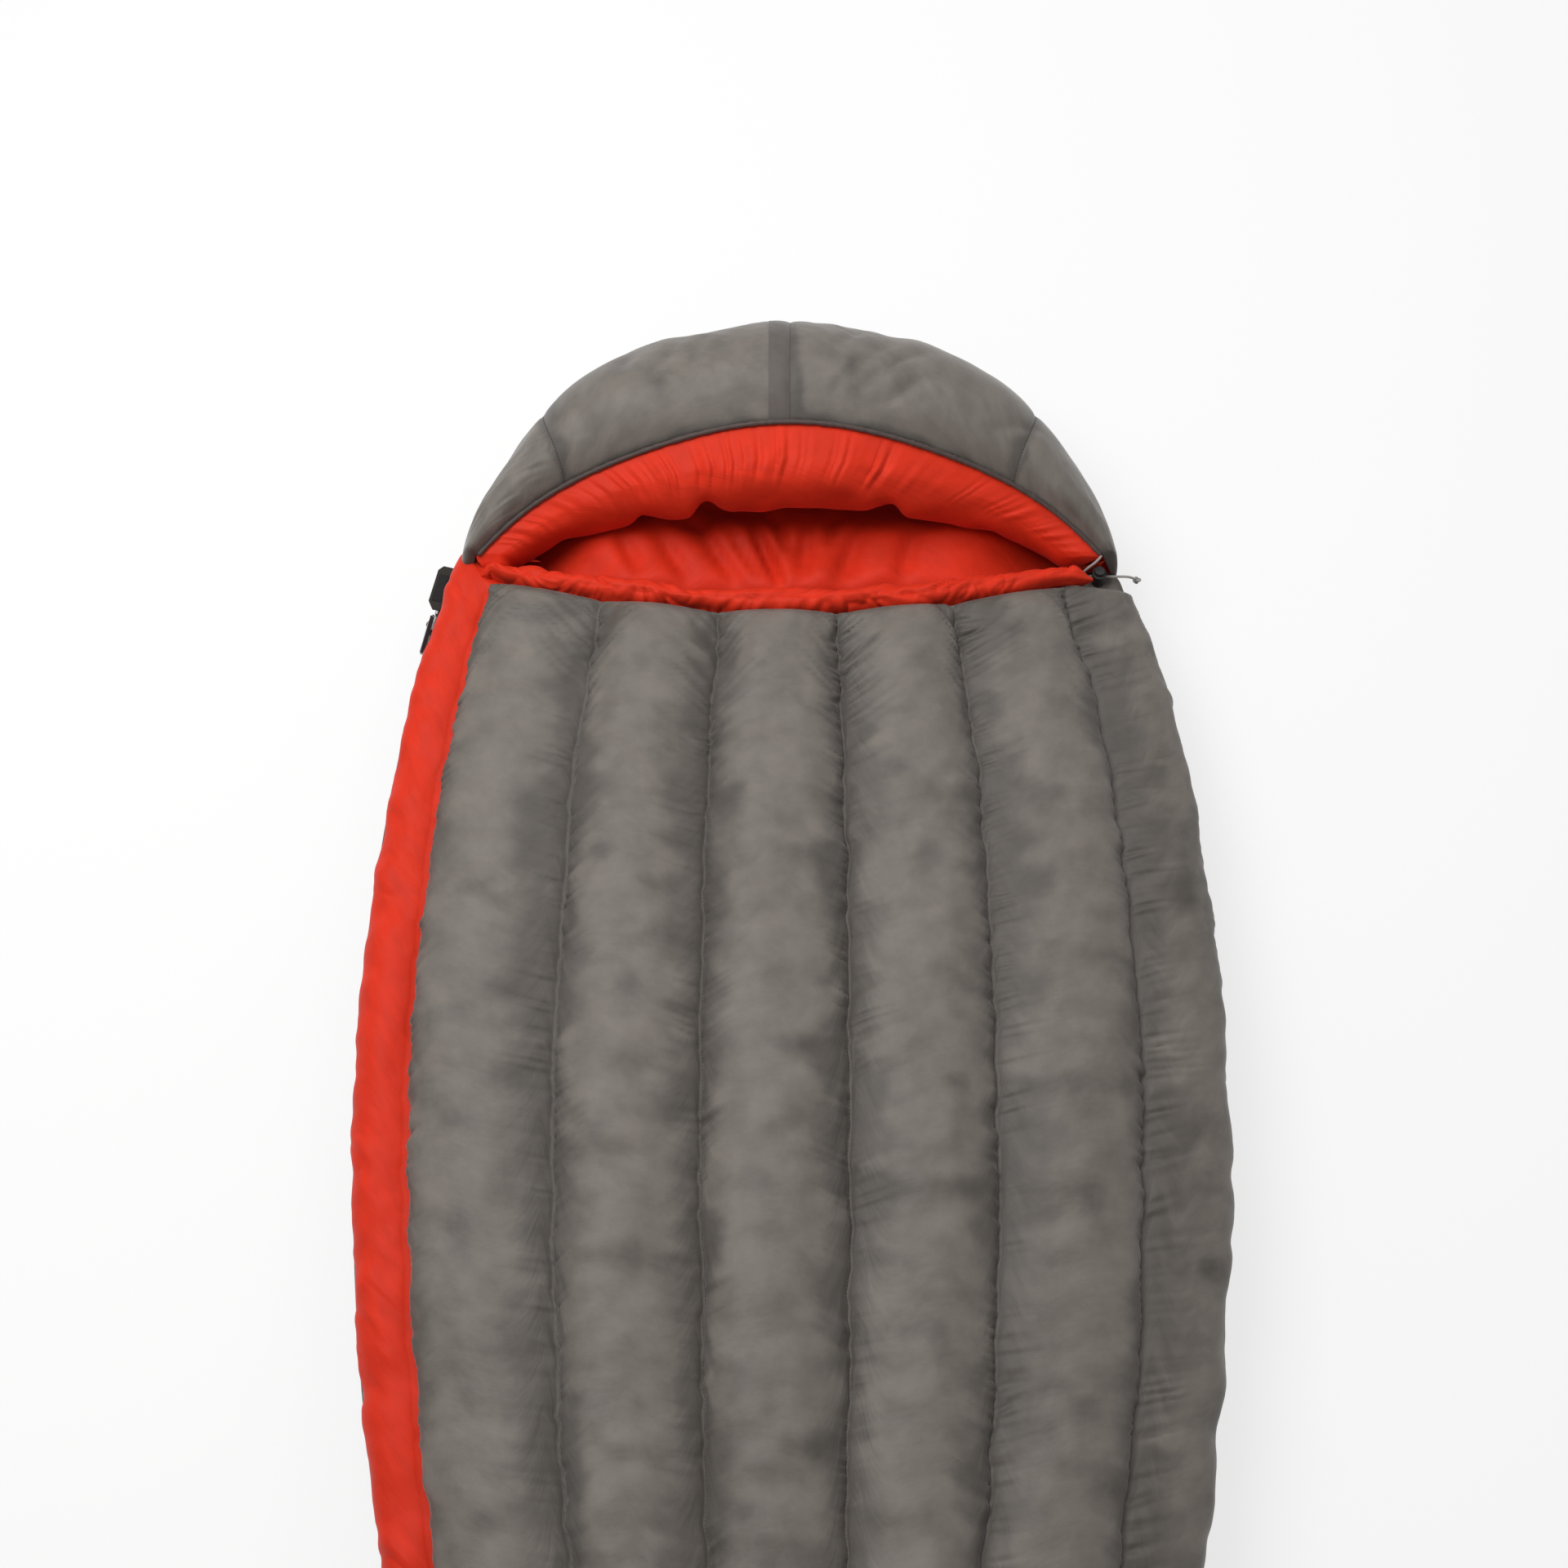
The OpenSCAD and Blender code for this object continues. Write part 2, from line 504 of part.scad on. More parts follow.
// A knot, drawn as a bead, keeps the end from slipping through the lock
knot_r = cord_d * 1.1;
knot_way = unit(tail_points[tail_last] - tail_points[tail_last - 1]);
function knot_ring(a) =
  cord_ring(tail_points[tail_last] + knot_r * (1 + sin(a)) * knot_way, knot_way, knot_r * cos(a));
module drawcord_tail() color(grey_cloth) swept(concat(
  [for (k = [0:tail_last]) cord_ring(tail_points[k], tail_way(k), cord_d / 2)],
  [for (a = [-60:30:60]) knot_ring(a)]
));

// Cord lock on the side wall at the neck: body, push button and spring
bore_d = lock_d - 3.6;
module at_lock() translate([lock_x, lock_y, lock_z]) children();
module cord_lock_body() color(black) at_lock() difference() {
  cylinder(d = lock_d, h = lock_height);
  translate([0, 0, 1.6]) cylinder(d = bore_d, h = lock_height);
  translate([0, 0, 9]) rotate([0, 90, 0]) cylinder(d = cord_d + 1.2, h = 40, center = true);
}
module cord_lock_button() color(black) at_lock() difference() {
  translate([0, 0, 5.2]) cylinder(d = bore_d - 0.6, h = lock_height);
  translate([-20, -cord_d / 2 - 0.6, 7.4]) cube([40, cord_d + 1.2, 3.2 + press_travel]);
}
module cord_lock_spring() color(silver) at_lock() translate([0, 0, 1.8]) difference() {
  cylinder(d = bore_d - 1.2, h = 3.2);
  translate([0, 0, -1]) cylinder(d = bore_d - 2.6, h = 6);
}

// Draft collar in front of the chest edge, with the elastic sewn between it and the quilt
collar_turns = [for (k = [0:20]) front_turn(1) + 3 + (front_turn(front_lines) - front_turn(1) - 6) * k / 20];
function collar_spot(a, d) =
  let (y = edge_y(top_u(a)), m = (top_out(a, y) + top_in(a, y)) / 2) m + [0, d, 0];
function collar_size(a) = 0.5 + 0.5 * pow(sin(a), 2);
collar_lift = (front_thick + puff_height) / 2 - 2;
function collar_ring(a, depth) =
  let (k = collar_size(a), h = collar_half * k, m = collar_spot(a, h + 2.7))
  [for (t = [18:36:342]) m + [0, (h - depth) * sin(t), (collar_lift * k - depth) * cos(t)]];
module collar_sleeve() color(red_cloth) blocks([[
  [for (a = collar_turns) collar_ring(a, 0)],
  [for (a = collar_turns) collar_ring(a, cloth)]
]], true);
module collar_down() color(down_white) swept([for (a = collar_turns) collar_ring(a, cloth + fit_gap)]);
function elastic_row(d, z) = [for (a = collar_turns) collar_spot(a, d) + [0, 0, z]];
module collar_elastic() color(black) blocks([[
  [elastic_row(2.5, 3), elastic_row(2.5, -3)],
  [elastic_row(1.5, 3), elastic_row(1.5, -3)]
]]);

// Zip, turned round the centre of the side curve at the seam height
function zip_turn(y) = asin((y - y_wide) / side_radius);
module zip_frame() translate([arc_x, y_wide, seam_height]) children();
module zip_sweep(low, high) zip_frame()
  rotate([0, 0, 180 - high]) rotate_extrude(angle = high - low, $fn = 720) children();
module zip_place(turn) zip_frame() rotate([0, 0, 180 - turn]) translate([side_radius, 0, 0])
  rotate([90, 0, 90]) mirror([1, 0, 0]) children();
module tape_profile() translate([side_radius - 1, coil_gap]) square([0.8, zip_gap - coil_gap - fit_gap]);
module coil_profile() {
  translate([side_radius + 0.1, coil_gap]) square([coil_width / 2, coil_width]);
  translate([side_radius + 0.1 + coil_width / 2, coil_gap + coil_width / 2]) circle(d = coil_width);
}
top_turn = zip_turn(zip_top);
end_turn = zip_turn(zip_end);
module zip_tape_front() color(black) zip_sweep(end_turn, top_turn) tape_profile();
module zip_tape_back() color(black) zip_sweep(end_turn, top_turn) mirror([0, 1]) tape_profile();
module zip_coil_front() color(black) zip_sweep(end_turn + 0.15, top_turn - 0.15) coil_profile();
module zip_coil_back() color(black) zip_sweep(end_turn + 0.15, top_turn - 0.15)
  mirror([0, 1]) coil_profile();
module zip_stops() color(silver) {
  zip_sweep(top_turn - 0.13, top_turn - 0.03) for (z = [coil_gap, -coil_gap - 3.4])
    translate([side_radius + 0.1, z]) square([3, 3.4]);
  zip_sweep(end_turn + 0.03, end_turn + 0.13) translate([side_radius + 0.1, -4.2]) square([3, 8.4]);
}
module stadium(reach, half) {
  translate([-reach + half, -half]) square([reach - 2 * half, 2 * half]);
  translate([-reach + half, 0]) circle(r = half);
  translate([-half, 0]) circle(r = half);
}
draft_half = zip_gap - fit_gap;
module draft_profile(depth) translate([side_radius - 4.6 - depth, 0])
  stadium(side_thick - 6 - 2 * depth, draft_half - depth);
module draft_tube_sleeve() color(red_cloth) zip_sweep(end_turn, top_turn) difference() {
  draft_profile(0);
  draft_profile(cloth);
}
module draft_tube_down() color(down_white) zip_sweep(end_turn, top_turn) draft_profile(cloth + fit_gap);

// Slider: an outer and an inner plate on a thin divider between the coil rows, with a bail for the pull
plate_low = coil_width + 0.5;
bail_r = 3.6;
module slider_plate(low, high) translate([0, 0, low]) linear_extrude(high - low) {
  translate([-slider_length / 2, -slider_width / 2 + 2]) square([slider_length, slider_width - 4]);
  translate([-slider_length / 2 + 2, -slider_width / 2]) square([slider_length - 4, slider_width]);
  for (x = [-1, 1], y = [-1, 1])
    translate([x * (slider_length / 2 - 2), y * (slider_width / 2 - 2)]) circle(r = 2);
}
module slider() color(silver) difference() {
  union() {
    slider_plate(plate_low, plate_low + 1.4);
    slider_plate(-2.8, -1.4);
    translate([-slider_length / 2 + 3, -0.4, -2]) cube([slider_length - 6, 0.8, plate_low + 3]);
    for (y = [-1, 1]) translate([-slider_length / 2 + 2, y * (slider_width / 2 - 0.45) - 0.45, 0.2])
      cube([slider_length - 4, 0.9, plate_low]);
    translate([0, 0, plate_low + 1.4]) rotate([90, 0, 0])
      rotate_extrude(angle = 180) translate([bail_r, 0]) circle(d = 1.5);
  }
  translate([-30, -30, -6]) cube([60, 60, 3.2]);
}
module pull() color(silver) translate([0, 0, plate_low + 3]) {
  rotate([90, 0, 0]) cylinder(d = 1.8, h = 6.4, center = true);
  difference() {
    translate([-pull_length, -3.6, -0.8]) cube([pull_length + 0.9, 7.2, 1.6]);
    translate([-7, -2.1, -2]) cube([14, 4.2, 4]);
    translate([-pull_length + 5, 0, -2]) cylinder(d = 4, h = 4);
  }
}
rest_turn = slider_length / 2 / side_radius * 57.2958 + 0.16;
module zip_slider() zip_place(top_turn - rest_turn) slider();
module zip_pull() zip_place(top_turn - rest_turn) pull();

// Neck tab over the zip: an anchor sewn in the seam, a flap with its hook patch, and the loop patch
tab_turn = zip_turn(edge_side + 3);
tab_low = zip_gap - fit_gap - 0.7;
module at_tab() zip_place(tab_turn) translate([0, -tab_low, 0]) children();
module tab_anchor() color(black) at_tab()
  translate([-tab_length / 2, -0.7, -16]) cube([tab_length * 0.4, 1.4, 16]);
module neck_tab() color(black) at_tab() translate([0, 0.7, 0.8]) rotate([90, 0, 0]) linear_extrude(1.4)
  polygon([[-tab_length / 2, 0], [tab_length / 2, 0], [tab_length / 2, tab_reach - 4],
    [tab_length / 2 - 5, tab_reach], [-tab_length / 2 + 8, tab_reach], [-tab_length / 2, tab_reach - 6]]);
module tab_hook() color(black) at_tab() translate([0, 1.7, 0.8]) rotate([90, 0, 0]) linear_extrude(0.8)
  translate([-tab_length / 2 + 9, 2.5]) square([tab_length - 18, tab_reach - 5]);
module tab_loop() color(black) blocks([[
  [for (i = [0:3]) [for (j = [0:3]) loop_spot(i / 3, j / 3, -1.2)]],
  [for (i = [0:3]) [for (j = [0:3]) loop_spot(i / 3, j / 3, -0.3)]]
]]);
// The loop patch follows the flat facet of the zip panel next to its lower edge
function loop_spot(s, t, depth) =
  let (p = front_skin(0, 0, 1, depth), q = front_skin(0, 0.2, 1, depth))
  let (v = front_skin(0, 0, 2, depth), w = front_skin(0, 0.2, 2, depth))
  let (a = p + (v - p) * (0.1 + 0.5 * s), b = q + (w - q) * (0.1 + 0.5 * s))
  a + (b - a) * (0.25 + 0.6 * t);

// Two webbing loops on the end seam at the foot
loop_x = foot_width * 0.12;
loop_rest = top_out(90, y_end)[2];
loop_slope = (loop_rest - top_out(75, y_end)[2]) / top_out(105, y_end)[0];
module hang_loops() color(black) for (s = [-1, 1])
  translate([s * loop_x, y_end - 0.7, loop_rest - loop_slope * (loop_x - loop_radius) + fit_gap])
    rotate([90, 0, 0]) rotate_extrude(angle = 180) translate([loop_radius - 1.6, 0]) square([1.6, 5]);

front_shell();
zip_side_panel();
front_baffles();
front_down();
front_lining();
back_shell();
back_baffles();
back_down();
back_lining();
foot_shell();
foot_down();
foot_lining();
hood_pad_shell();
hood_pad_down();
hood_pad_lining();
hood_side_left();
hood_crown_left();
hood_crown_right();
hood_side_right();
hood_crown_down();
hood_lining();
face_roll_sleeve();
face_roll_down();
rim_tunnel();
hood_drawcord();
drawcord_tail();
cord_lock_body();
cord_lock_button();
cord_lock_spring();
collar_sleeve();
collar_down();
collar_elastic();
draft_tube_sleeve();
draft_tube_down();
zip_tape_front();
zip_tape_back();
zip_coil_front();
zip_coil_back();
zip_stops();
zip_slider();
zip_pull();
tab_anchor();
neck_tab();
tab_hook();
tab_loop();
hang_loops();
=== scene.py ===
"""A down mummy sleeping bag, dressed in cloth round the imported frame.

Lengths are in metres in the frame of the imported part: +Z up from the floor, +Y from foot to hood,
the zip on the -X side. Angles are in radians unless a name says degrees.
"""

import logging
import math
from dataclasses import dataclass
from enum import Enum

import bpy
import numpy as np
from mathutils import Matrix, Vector


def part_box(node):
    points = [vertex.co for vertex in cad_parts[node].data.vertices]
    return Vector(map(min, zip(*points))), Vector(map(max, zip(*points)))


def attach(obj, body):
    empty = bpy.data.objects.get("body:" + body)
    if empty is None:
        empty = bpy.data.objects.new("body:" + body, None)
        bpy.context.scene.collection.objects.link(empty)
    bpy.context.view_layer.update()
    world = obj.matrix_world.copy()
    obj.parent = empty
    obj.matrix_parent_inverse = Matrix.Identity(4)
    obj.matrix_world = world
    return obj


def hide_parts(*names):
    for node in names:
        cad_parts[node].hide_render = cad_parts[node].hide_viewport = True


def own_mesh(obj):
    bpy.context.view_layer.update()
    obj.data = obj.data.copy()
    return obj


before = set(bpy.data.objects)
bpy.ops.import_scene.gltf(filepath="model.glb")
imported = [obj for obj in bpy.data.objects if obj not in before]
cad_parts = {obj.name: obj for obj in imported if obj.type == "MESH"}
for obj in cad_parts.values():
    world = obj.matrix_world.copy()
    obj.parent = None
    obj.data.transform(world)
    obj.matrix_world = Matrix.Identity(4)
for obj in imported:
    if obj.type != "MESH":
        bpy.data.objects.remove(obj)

log = logging.getLogger("sleeping_bag")
Array = np.ndarray
Points = np.ndarray
Piece = bpy.types.Object
Socket = bpy.types.NodeSocket
Colour = tuple[float, float, float]
BAG = "bag"
DOWN_AND_SHADE = "down_fill_and_shade"
ENDS = [0, -1]
FLOOR_GAP = 0.0004
SKIN_GAP = 0.0002


# Helpers


def ease(t: Array) -> Array:
    """Smooth step from 0 to 1."""
    t = np.clip(t, 0.0, 1.0)
    return t * t * (3 - 2 * t)


def signed_power(v: Array, e: float) -> Array:
    """Power that keeps the sign of its base."""
    return np.sign(v) * np.abs(v) ** e


def puff(t: Array) -> Array:
    """Rise of a filled channel over its width, 0 at both stitch lines and 1 in the middle."""
    return np.clip(np.sin(np.pi * np.clip(t, 0, 1)), 0, 1) ** 0.7


def unit(v: Array) -> Array:
    """Vectors of length one along the last axis."""
    return v / np.maximum(np.linalg.norm(v, axis=-1, keepdims=True), 1e-12)


def bump(d: Array, width: float) -> Array:
    """Bell curve of the given half width."""
    return np.exp(-((d / width) ** 2))


def stack(x: Array, y: Array, z: Array) -> Points:
    """Points from three arrays of coordinates, spread to one shape."""
    return np.stack(np.broadcast_arrays(x, y, z), axis=-1).astype(float)


def run_along(path: Points) -> Array:
    """Length from the first point of a path to each of its points."""
    return np.concatenate([[0], np.cumsum(np.linalg.norm(np.diff(path, axis=0), axis=-1))])


def crowded(count: int, share: float) -> Array:
    """Stations from 0 to 1 that lie closer together at both ends.

    Args:
        count: number of stations.
        share: 0 for even stations, 1 for cosine ones.

    Returns:
        The stations, with 0 first and 1 last.
    """
    s = np.linspace(0, 1, count)
    return (1 - share) * s + share * (0.5 - 0.5 * np.cos(np.pi * s))


def ring_turns(count: int) -> Array:
    """Angles of the points of a ring."""
    return np.linspace(0, 2 * np.pi, count, endpoint=False)


class SoftNoise:
    """Smooth seeded noise on a plane, from -1 to 1."""

    SIZE = 128

    def __init__(self, seed: int) -> None:
        """Draws the table of values for this seed."""
        self._table = np.random.default_rng(seed).uniform(-1, 1, (self.SIZE, self.SIZE))

    def __call__(self, x: Array, y: Array, step_x: float, step_y: float) -> Array:
        """Noise at points of the plane.

        Args:
            x: first coordinate.
            y: second coordinate.
            step_x: size of one lump along x.
            step_y: size of one lump along y.

        Returns:
            One value for each point.
        """
        gx, gy = np.broadcast_arrays(x / step_x, y / step_y)
        ix, iy = np.floor(gx).astype(int), np.floor(gy).astype(int)
        fx, fy = ease(gx - ix), ease(gy - iy)
        t, n = self._table, self.SIZE
        low = t[ix % n, iy % n] * (1 - fx) + t[(ix + 1) % n, iy % n] * fx
        high = t[ix % n, (iy + 1) % n] * (1 - fx) + t[(ix + 1) % n, (iy + 1) % n] * fx
        return low * (1 - fy) + high * fy

    def line(self, x: Array, step: float) -> Array:
        """Noise that changes along x alone."""
        return self(x, 0 * x, step, 1.0)

    def lane(self, lane: Array, y: Array, step: float) -> Array:
        """Noise along y that each numbered lane has for itself."""
        return self(lane, y, 1.0, step)

    def clumps(self, x: Array, y: Array, step_x: float, step_y: float, level: float) -> Array:
        """Patches where the noise stands over a level, from 0 to 1."""
        return np.clip(self(x, y, step_x, step_y) - level, 0, 1)


def folded(noise: Array, sharp: float = 0.7, middle: float = 0.5) -> Array:
    """Noise turned into sharp folds with round backs between them, about zero."""
    return np.abs(noise) ** sharp - middle


def grid_normals(p: Points) -> Points:
    """Normals of a grid of points, rows crossed with columns."""
    return unit(np.cross(np.gradient(p, axis=0), np.gradient(p, axis=1)))


def held_edges(p: Points, cols: list | slice) -> Array:
    """Marks of the points that stay in place: the first and last row, and the given columns.

    Args:
        p: the grid.
        cols: the columns that are held.

    Returns:
        One mark for each point.
    """
    held = np.zeros(p.shape[:2], bool)
    held[ENDS] = True
    held[:, cols] = True
    return held


def second_difference(p: Points) -> Points:
    """How much a grid bends from row to row."""
    return p[2:] - 2 * p[1:-1] + p[:-2]


@dataclass
class Cloth:
    """A grid of cloth that has spare length, held at its seams and carried by soft down.

    The spare length has nowhere to go but out of the surface, so it buckles into puckers beside the
    seams, as cloth does that was gathered when it was sewn.
    """

    points: Points
    held: Array
    spare_down: Array | float
    spare_across: Array | float
    side: float = 1.0
    steps: int = 110
    push: float = 0.00003
    bed: float = 0.05
    bend: float = 0.03
    reach: float = 0.008
    jitter: float = 0.0004
    seed: int = 1
    grip: float = 0.24
    kept_speed: float = 0.88

    def _tie(self, p: Points, a: tuple, b: tuple, rest: Array) -> None:
        """Draws two sets of neighbours to their rest distance, in place.

        Args:
            p: the grid.
            a: where the first neighbours are.
            b: where the second ones are.
            rest: their rest distances.
        """
        gap = p[b] - p[a]
        size = np.maximum(np.linalg.norm(gap, axis=-1), 1e-9)
        move = gap * (self.grip * (1 - rest / size))[..., None]
        p[a] += move
        p[b] -= move

    def _stiffen(self, p: Points, curves: list[Points]) -> None:
        """Turns the grid back towards its first curves along both axes, in place.

        Args:
            p: the grid.
            curves: its first bends, along rows and columns.
        """
        for axis, curve in enumerate(curves):
            q = np.moveaxis(p, axis, 0)
            turn = (second_difference(q) - curve) * self.bend
            q[1:-1] += 2 * turn
            q[2:] -= turn
            q[:-2] -= turn

    def settle(self) -> Points:
        """Lets the cloth buckle and come to rest.

        Returns:
            The settled grid, in the shape of the first one.
        """
        start = np.array(self.points, float)
        s, low, high = slice(None), slice(None, -1), slice(1, None)
        down = np.broadcast_to(self.spare_down, start.shape[:2])
        across = np.broadcast_to(self.spare_across, start.shape[:2])
        slant = (down + across)[low, low] / 2
        ties = []
        for a, b, spare in (
            ((low, s), (high, s), down[low, :]), ((s, low), (s, high), across[:, low]),
            ((low, low), (high, high), slant), ((low, high), (high, low), slant),
        ):
            ties.append((a, b, np.linalg.norm(start[b] - start[a], axis=-1) * (1 + spare)))
        rng = np.random.default_rng(self.seed)
        normal = grid_normals(start) * self.side
        p = start + normal * rng.normal(0, self.jitter, start.shape[:2])[..., None]
        last = p.copy()
        curves = [second_difference(np.moveaxis(start, axis, 0)) for axis in (0, 1)]
        for _ in range(self.steps):
            speed = (p - last) * self.kept_speed
            last = p.copy()
            normal = grid_normals(p) * self.side
            sink = ((start - p) * normal).sum(-1, keepdims=True)
            p = p + speed + normal * (self.push + self.bed * sink)
            for _ in range(2):
                for a, b, rest in ties:
                    self._tie(p, a, b, rest)
            self._stiffen(p, curves)
            off = p - start
            far = np.maximum(np.linalg.norm(off, axis=-1, keepdims=True), 1e-9)
            p = start + off * np.minimum(1, self.reach / far)
            p[self.held] = start[self.held]
        return p


# Finishes


class NodeBoard:
    """The nodes of one material or world, with short ways to add and join them."""

    def __init__(self, tree: bpy.types.NodeTree) -> None:
        """Keeps the tree that the nodes go in."""
        self._tree = tree

    def feed(self, node: bpy.types.Node | str, inputs: dict) -> None:
        """Gives each named input of a node a value, or joins it to a socket.

        Args:
            node: the node, or its name.
            inputs: a value or a socket for each input.
        """
        node = self._tree.nodes[node] if isinstance(node, str) else node
        for key, value in inputs.items():
            if isinstance(value, Socket):
                self._tree.links.new(value, node.inputs[key])
            else:
                node.inputs[key].default_value = value

    def add(self, kind: str, output: str, inputs: dict, **settings: object) -> Socket:
        """A new node.

        Args:
            kind: its type, without the words ShaderNode.
            output: name of the output that is wanted.
            inputs: a value or a socket for each input that is set.
            settings: properties of the node.

        Returns:
            The wanted output.
        """
        node = self._tree.nodes.new(f"ShaderNode{kind}")
        for key, value in settings.items():
            setattr(node, key, value)
        self.feed(node, inputs)
        return node.outputs[output]

    def ramp(self, value: Socket, *stops: tuple[float, Colour]) -> Socket:
        """A colour that blends from one stop to the other.

        Args:
            value: what the colour follows.
            stops: place and colour of both stops.

        Returns:
            The colour.
        """
        colour = self.add("ValToRGB", "Color", {"Fac": value})
        for element, (position, shade) in zip(colour.node.color_ramp.elements, stops):
            element.position = position
            element.color = (*shade, 1)
        return colour

    def gloss(self, value: Socket, roughness: float, less: float, more: float) -> Socket:
        """A roughness that wanders about its middle."""
        ends = {"To Min": roughness - less, "To Max": roughness + more}
        return self.add("MapRange", "Result", {"Value": value, **ends})

    def bump(self, height: Socket, strength: float, distance: float, **more: object) -> Socket:
        """A bumped normal."""
        inputs = {"Height": height, "Strength": strength, "Distance": distance}
        return self.add("Bump", "Normal", inputs, **more)

    def seen_rays(self) -> Socket:
        """1 for the rays that show the background: straight, mirrored or seen through glass.

        Returns:
            The socket that tells the rays apart.
        """
        seen = self.add("LightPath", "Is Camera Ray", {})
        rays = seen.node
        for name in ("Is Glossy Ray", "Is Transmission Ray"):
            seen = self.add("Math", "Value", {0: seen, 1: rays.outputs[name]}, operation="MAXIMUM")
        return seen


def new_material(name: str) -> tuple[bpy.types.Material, NodeBoard]:
    """An empty node material and the board of its nodes.

    Args:
        name: the material's name.

    Returns:
        The material and its board.
    """
    mat = bpy.data.materials.new(name)
    mat.use_nodes = True
    return mat, NodeBoard(mat.node_tree)


class Weave(Enum):
    """How a cloth is woven: the spacing of its threads along u and v, in metres."""

    TAFFETA = (0.0011, 0.0011)
    WEBBING = (0.0016, 0.0009)
    BRAID = (0.0012, 0.0007)


@dataclass(frozen=True)
class ClothFinish:
    """Thin woven nylon with down behind it.

    The meshes carry a value named down_fill_and_shade, 1 where down lies behind the cloth and 0 where none
    does.
    There the cloth shows darker, at the share of its colour that bare_and_shade gives: partly the real
    show-through of bare cloth, partly painted shade deepened in the stitch valleys and laid in creases.
    """

    name: str
    slot: str
    colour: Colour
    mottle: float = 0.1
    mottle_size: float = 0.03
    roughness: float = 0.52
    sheen: float = 0.25
    weave: Weave = Weave.TAFFETA
    weave_depth: float = 0.12
    crinkle: float = 0.25
    bare_and_shade: float = 1.0
    specular: float = 0.3

    def make(self) -> bpy.types.Material:
        """The node material, made once for each name.

        Returns:
            The material.
        """
        found = bpy.data.materials.get(self.name)
        if found:
            return found
        mat, board = new_material(self.name)
        uv = board.add("UVMap", "UV", {}, uv_map="UVMap")
        size = 1 / self.mottle_size
        clusters = board.add("TexNoise", "Fac", {"Vector": uv, "Scale": size, "Detail": 5, "Roughness": 0.6})
        dark = tuple(c * (1 - self.mottle) for c in self.colour)
        light = tuple(min(1, c * (1 + self.mottle)) for c in self.colour)
        colour = board.ramp(clusters, (0.28, dark), (0.72, light))
        board.feed("Principled BSDF", {
            "Base Color": self._thinned(board, clusters, colour),
            "Roughness": board.gloss(clusters, self.roughness, 0.06, 0.08),
            "Normal": self._woven(board, uv),
            "Specular IOR Level": self.specular,
            "Sheen Weight": self.sheen,
            "Sheen Roughness": 0.4,
        })
        return mat

    def _woven(self, board: NodeBoard, uv: Socket) -> Socket:
        """Normal of the cloth with soft crinkles and fine threads.

        Args:
            board: the material's nodes.
            uv: the cloth's UV map.

        Returns:
            The normal.
        """
        stretch = board.add("Mapping", "Vector", {"Vector": uv, "Scale": (70, 160, 1)})
        crinkles = board.add("TexNoise", "Fac", {"Vector": stretch, "Scale": 1, "Detail": 3})
        soft = board.bump(crinkles, self.crinkle, 0.0015)
        width, height = self.weave.value
        mortar = {"Mortar Size": height * 0.16, "Mortar Smooth": 1}
        size = {"Scale": 1, "Brick Width": width, "Row Height": height}
        threads = board.add("TexBrick", "Fac", {"Vector": uv, **size, **mortar}, offset=0.5)
        fine = board.bump(threads, self.weave_depth, 0.0003, invert=True)
        board.feed(fine.node, {"Normal": soft})
        return fine

    def _thinned(self, board: NodeBoard, clusters: Socket, colour: Socket) -> Socket:
        """Colour darkened where the cloth has no down behind it, and by painted shade in stitch valleys and
        creases.

        Args:
            board: the material's nodes.
            clusters: noise that makes the edge of the down ragged.
            colour: the cloth's own colour.

        Returns:
            The darkened colour.
        """
        if self.bare_and_shade >= 1:
            return colour
        # down_fill_and_shade: the down behind the cloth, lowered further by painted shade in stitch valleys
        # and creases.
        down = board.add("Attribute", "Fac", {}, attribute_name=DOWN_AND_SHADE)
        ragged = board.add("Math", "Value", {0: clusters, 1: 0.6, 2: down}, operation="MULTIPLY_ADD")
        reach = {"From Min": 0.2, "From Max": 1.35, "To Min": self.bare_and_shade}
        share = board.add("MapRange", "Result", {"Value": ragged, **reach}, interpolation_type="SMOOTHSTEP")
        return board.add("VectorMath", "Vector", {0: colour, "Scale": share}, operation="SCALE")


@dataclass(frozen=True)
class HardFinish:
    """Moulded plastic or enamelled metal with fine wear."""

    name: str
    slot: str
    colour: Colour
    worn: Colour
    metallic: float = 0.0
    roughness: float = 0.4
    grain: float = 900.0
    grain_depth: float = 0.15

    def make(self) -> bpy.types.Material:
        """The node material, made once for each name.

        Returns:
            The material.
        """
        found = bpy.data.materials.get(self.name)
        if found:
            return found
        mat, board = new_material(self.name)
        place = board.add("TexCoord", "Object", {})
        grain = board.add("TexNoise", "Fac", {"Vector": place, "Scale": self.grain, "Detail": 4})
        edge = board.add("NewGeometry", "Pointiness", {})
        board.feed("Principled BSDF", {
            "Base Color": board.ramp(edge, (0.52, self.colour), (0.62, self.worn)),
            "Roughness": board.gloss(grain, self.roughness, 0.08, 0.1),
            "Normal": board.bump(grain, self.grain_depth, 0.0002),
            "Metallic": self.metallic,
        })
        return mat


Finish = ClothFinish | HardFinish


def cord_cloth(name: str, slot: str, colour: Colour, *look: float) -> ClothFinish:
    """A braided finish: mottle and its size, roughness, sheen, depth of the weave and crinkle."""
    return ClothFinish(name, slot, colour, *look[:4], Weave.BRAID, *look[4:])


# bare_and_shade darkens the shell where the mesh value is low: bare cloth beside the stitching, plus painted
# shade in the valleys and creases.
GREY_SHELL = ClothFinish("grey_shell_nylon", "grey_cloth", (0.153, 0.135, 0.117), 0.2, 0.032, bare_and_shade=0.52)
GREY_TAPE = ClothFinish("grey_seam_tape", "grey_cloth", (0.098, 0.083, 0.075), 0.1, 0.012, crinkle=0.2)
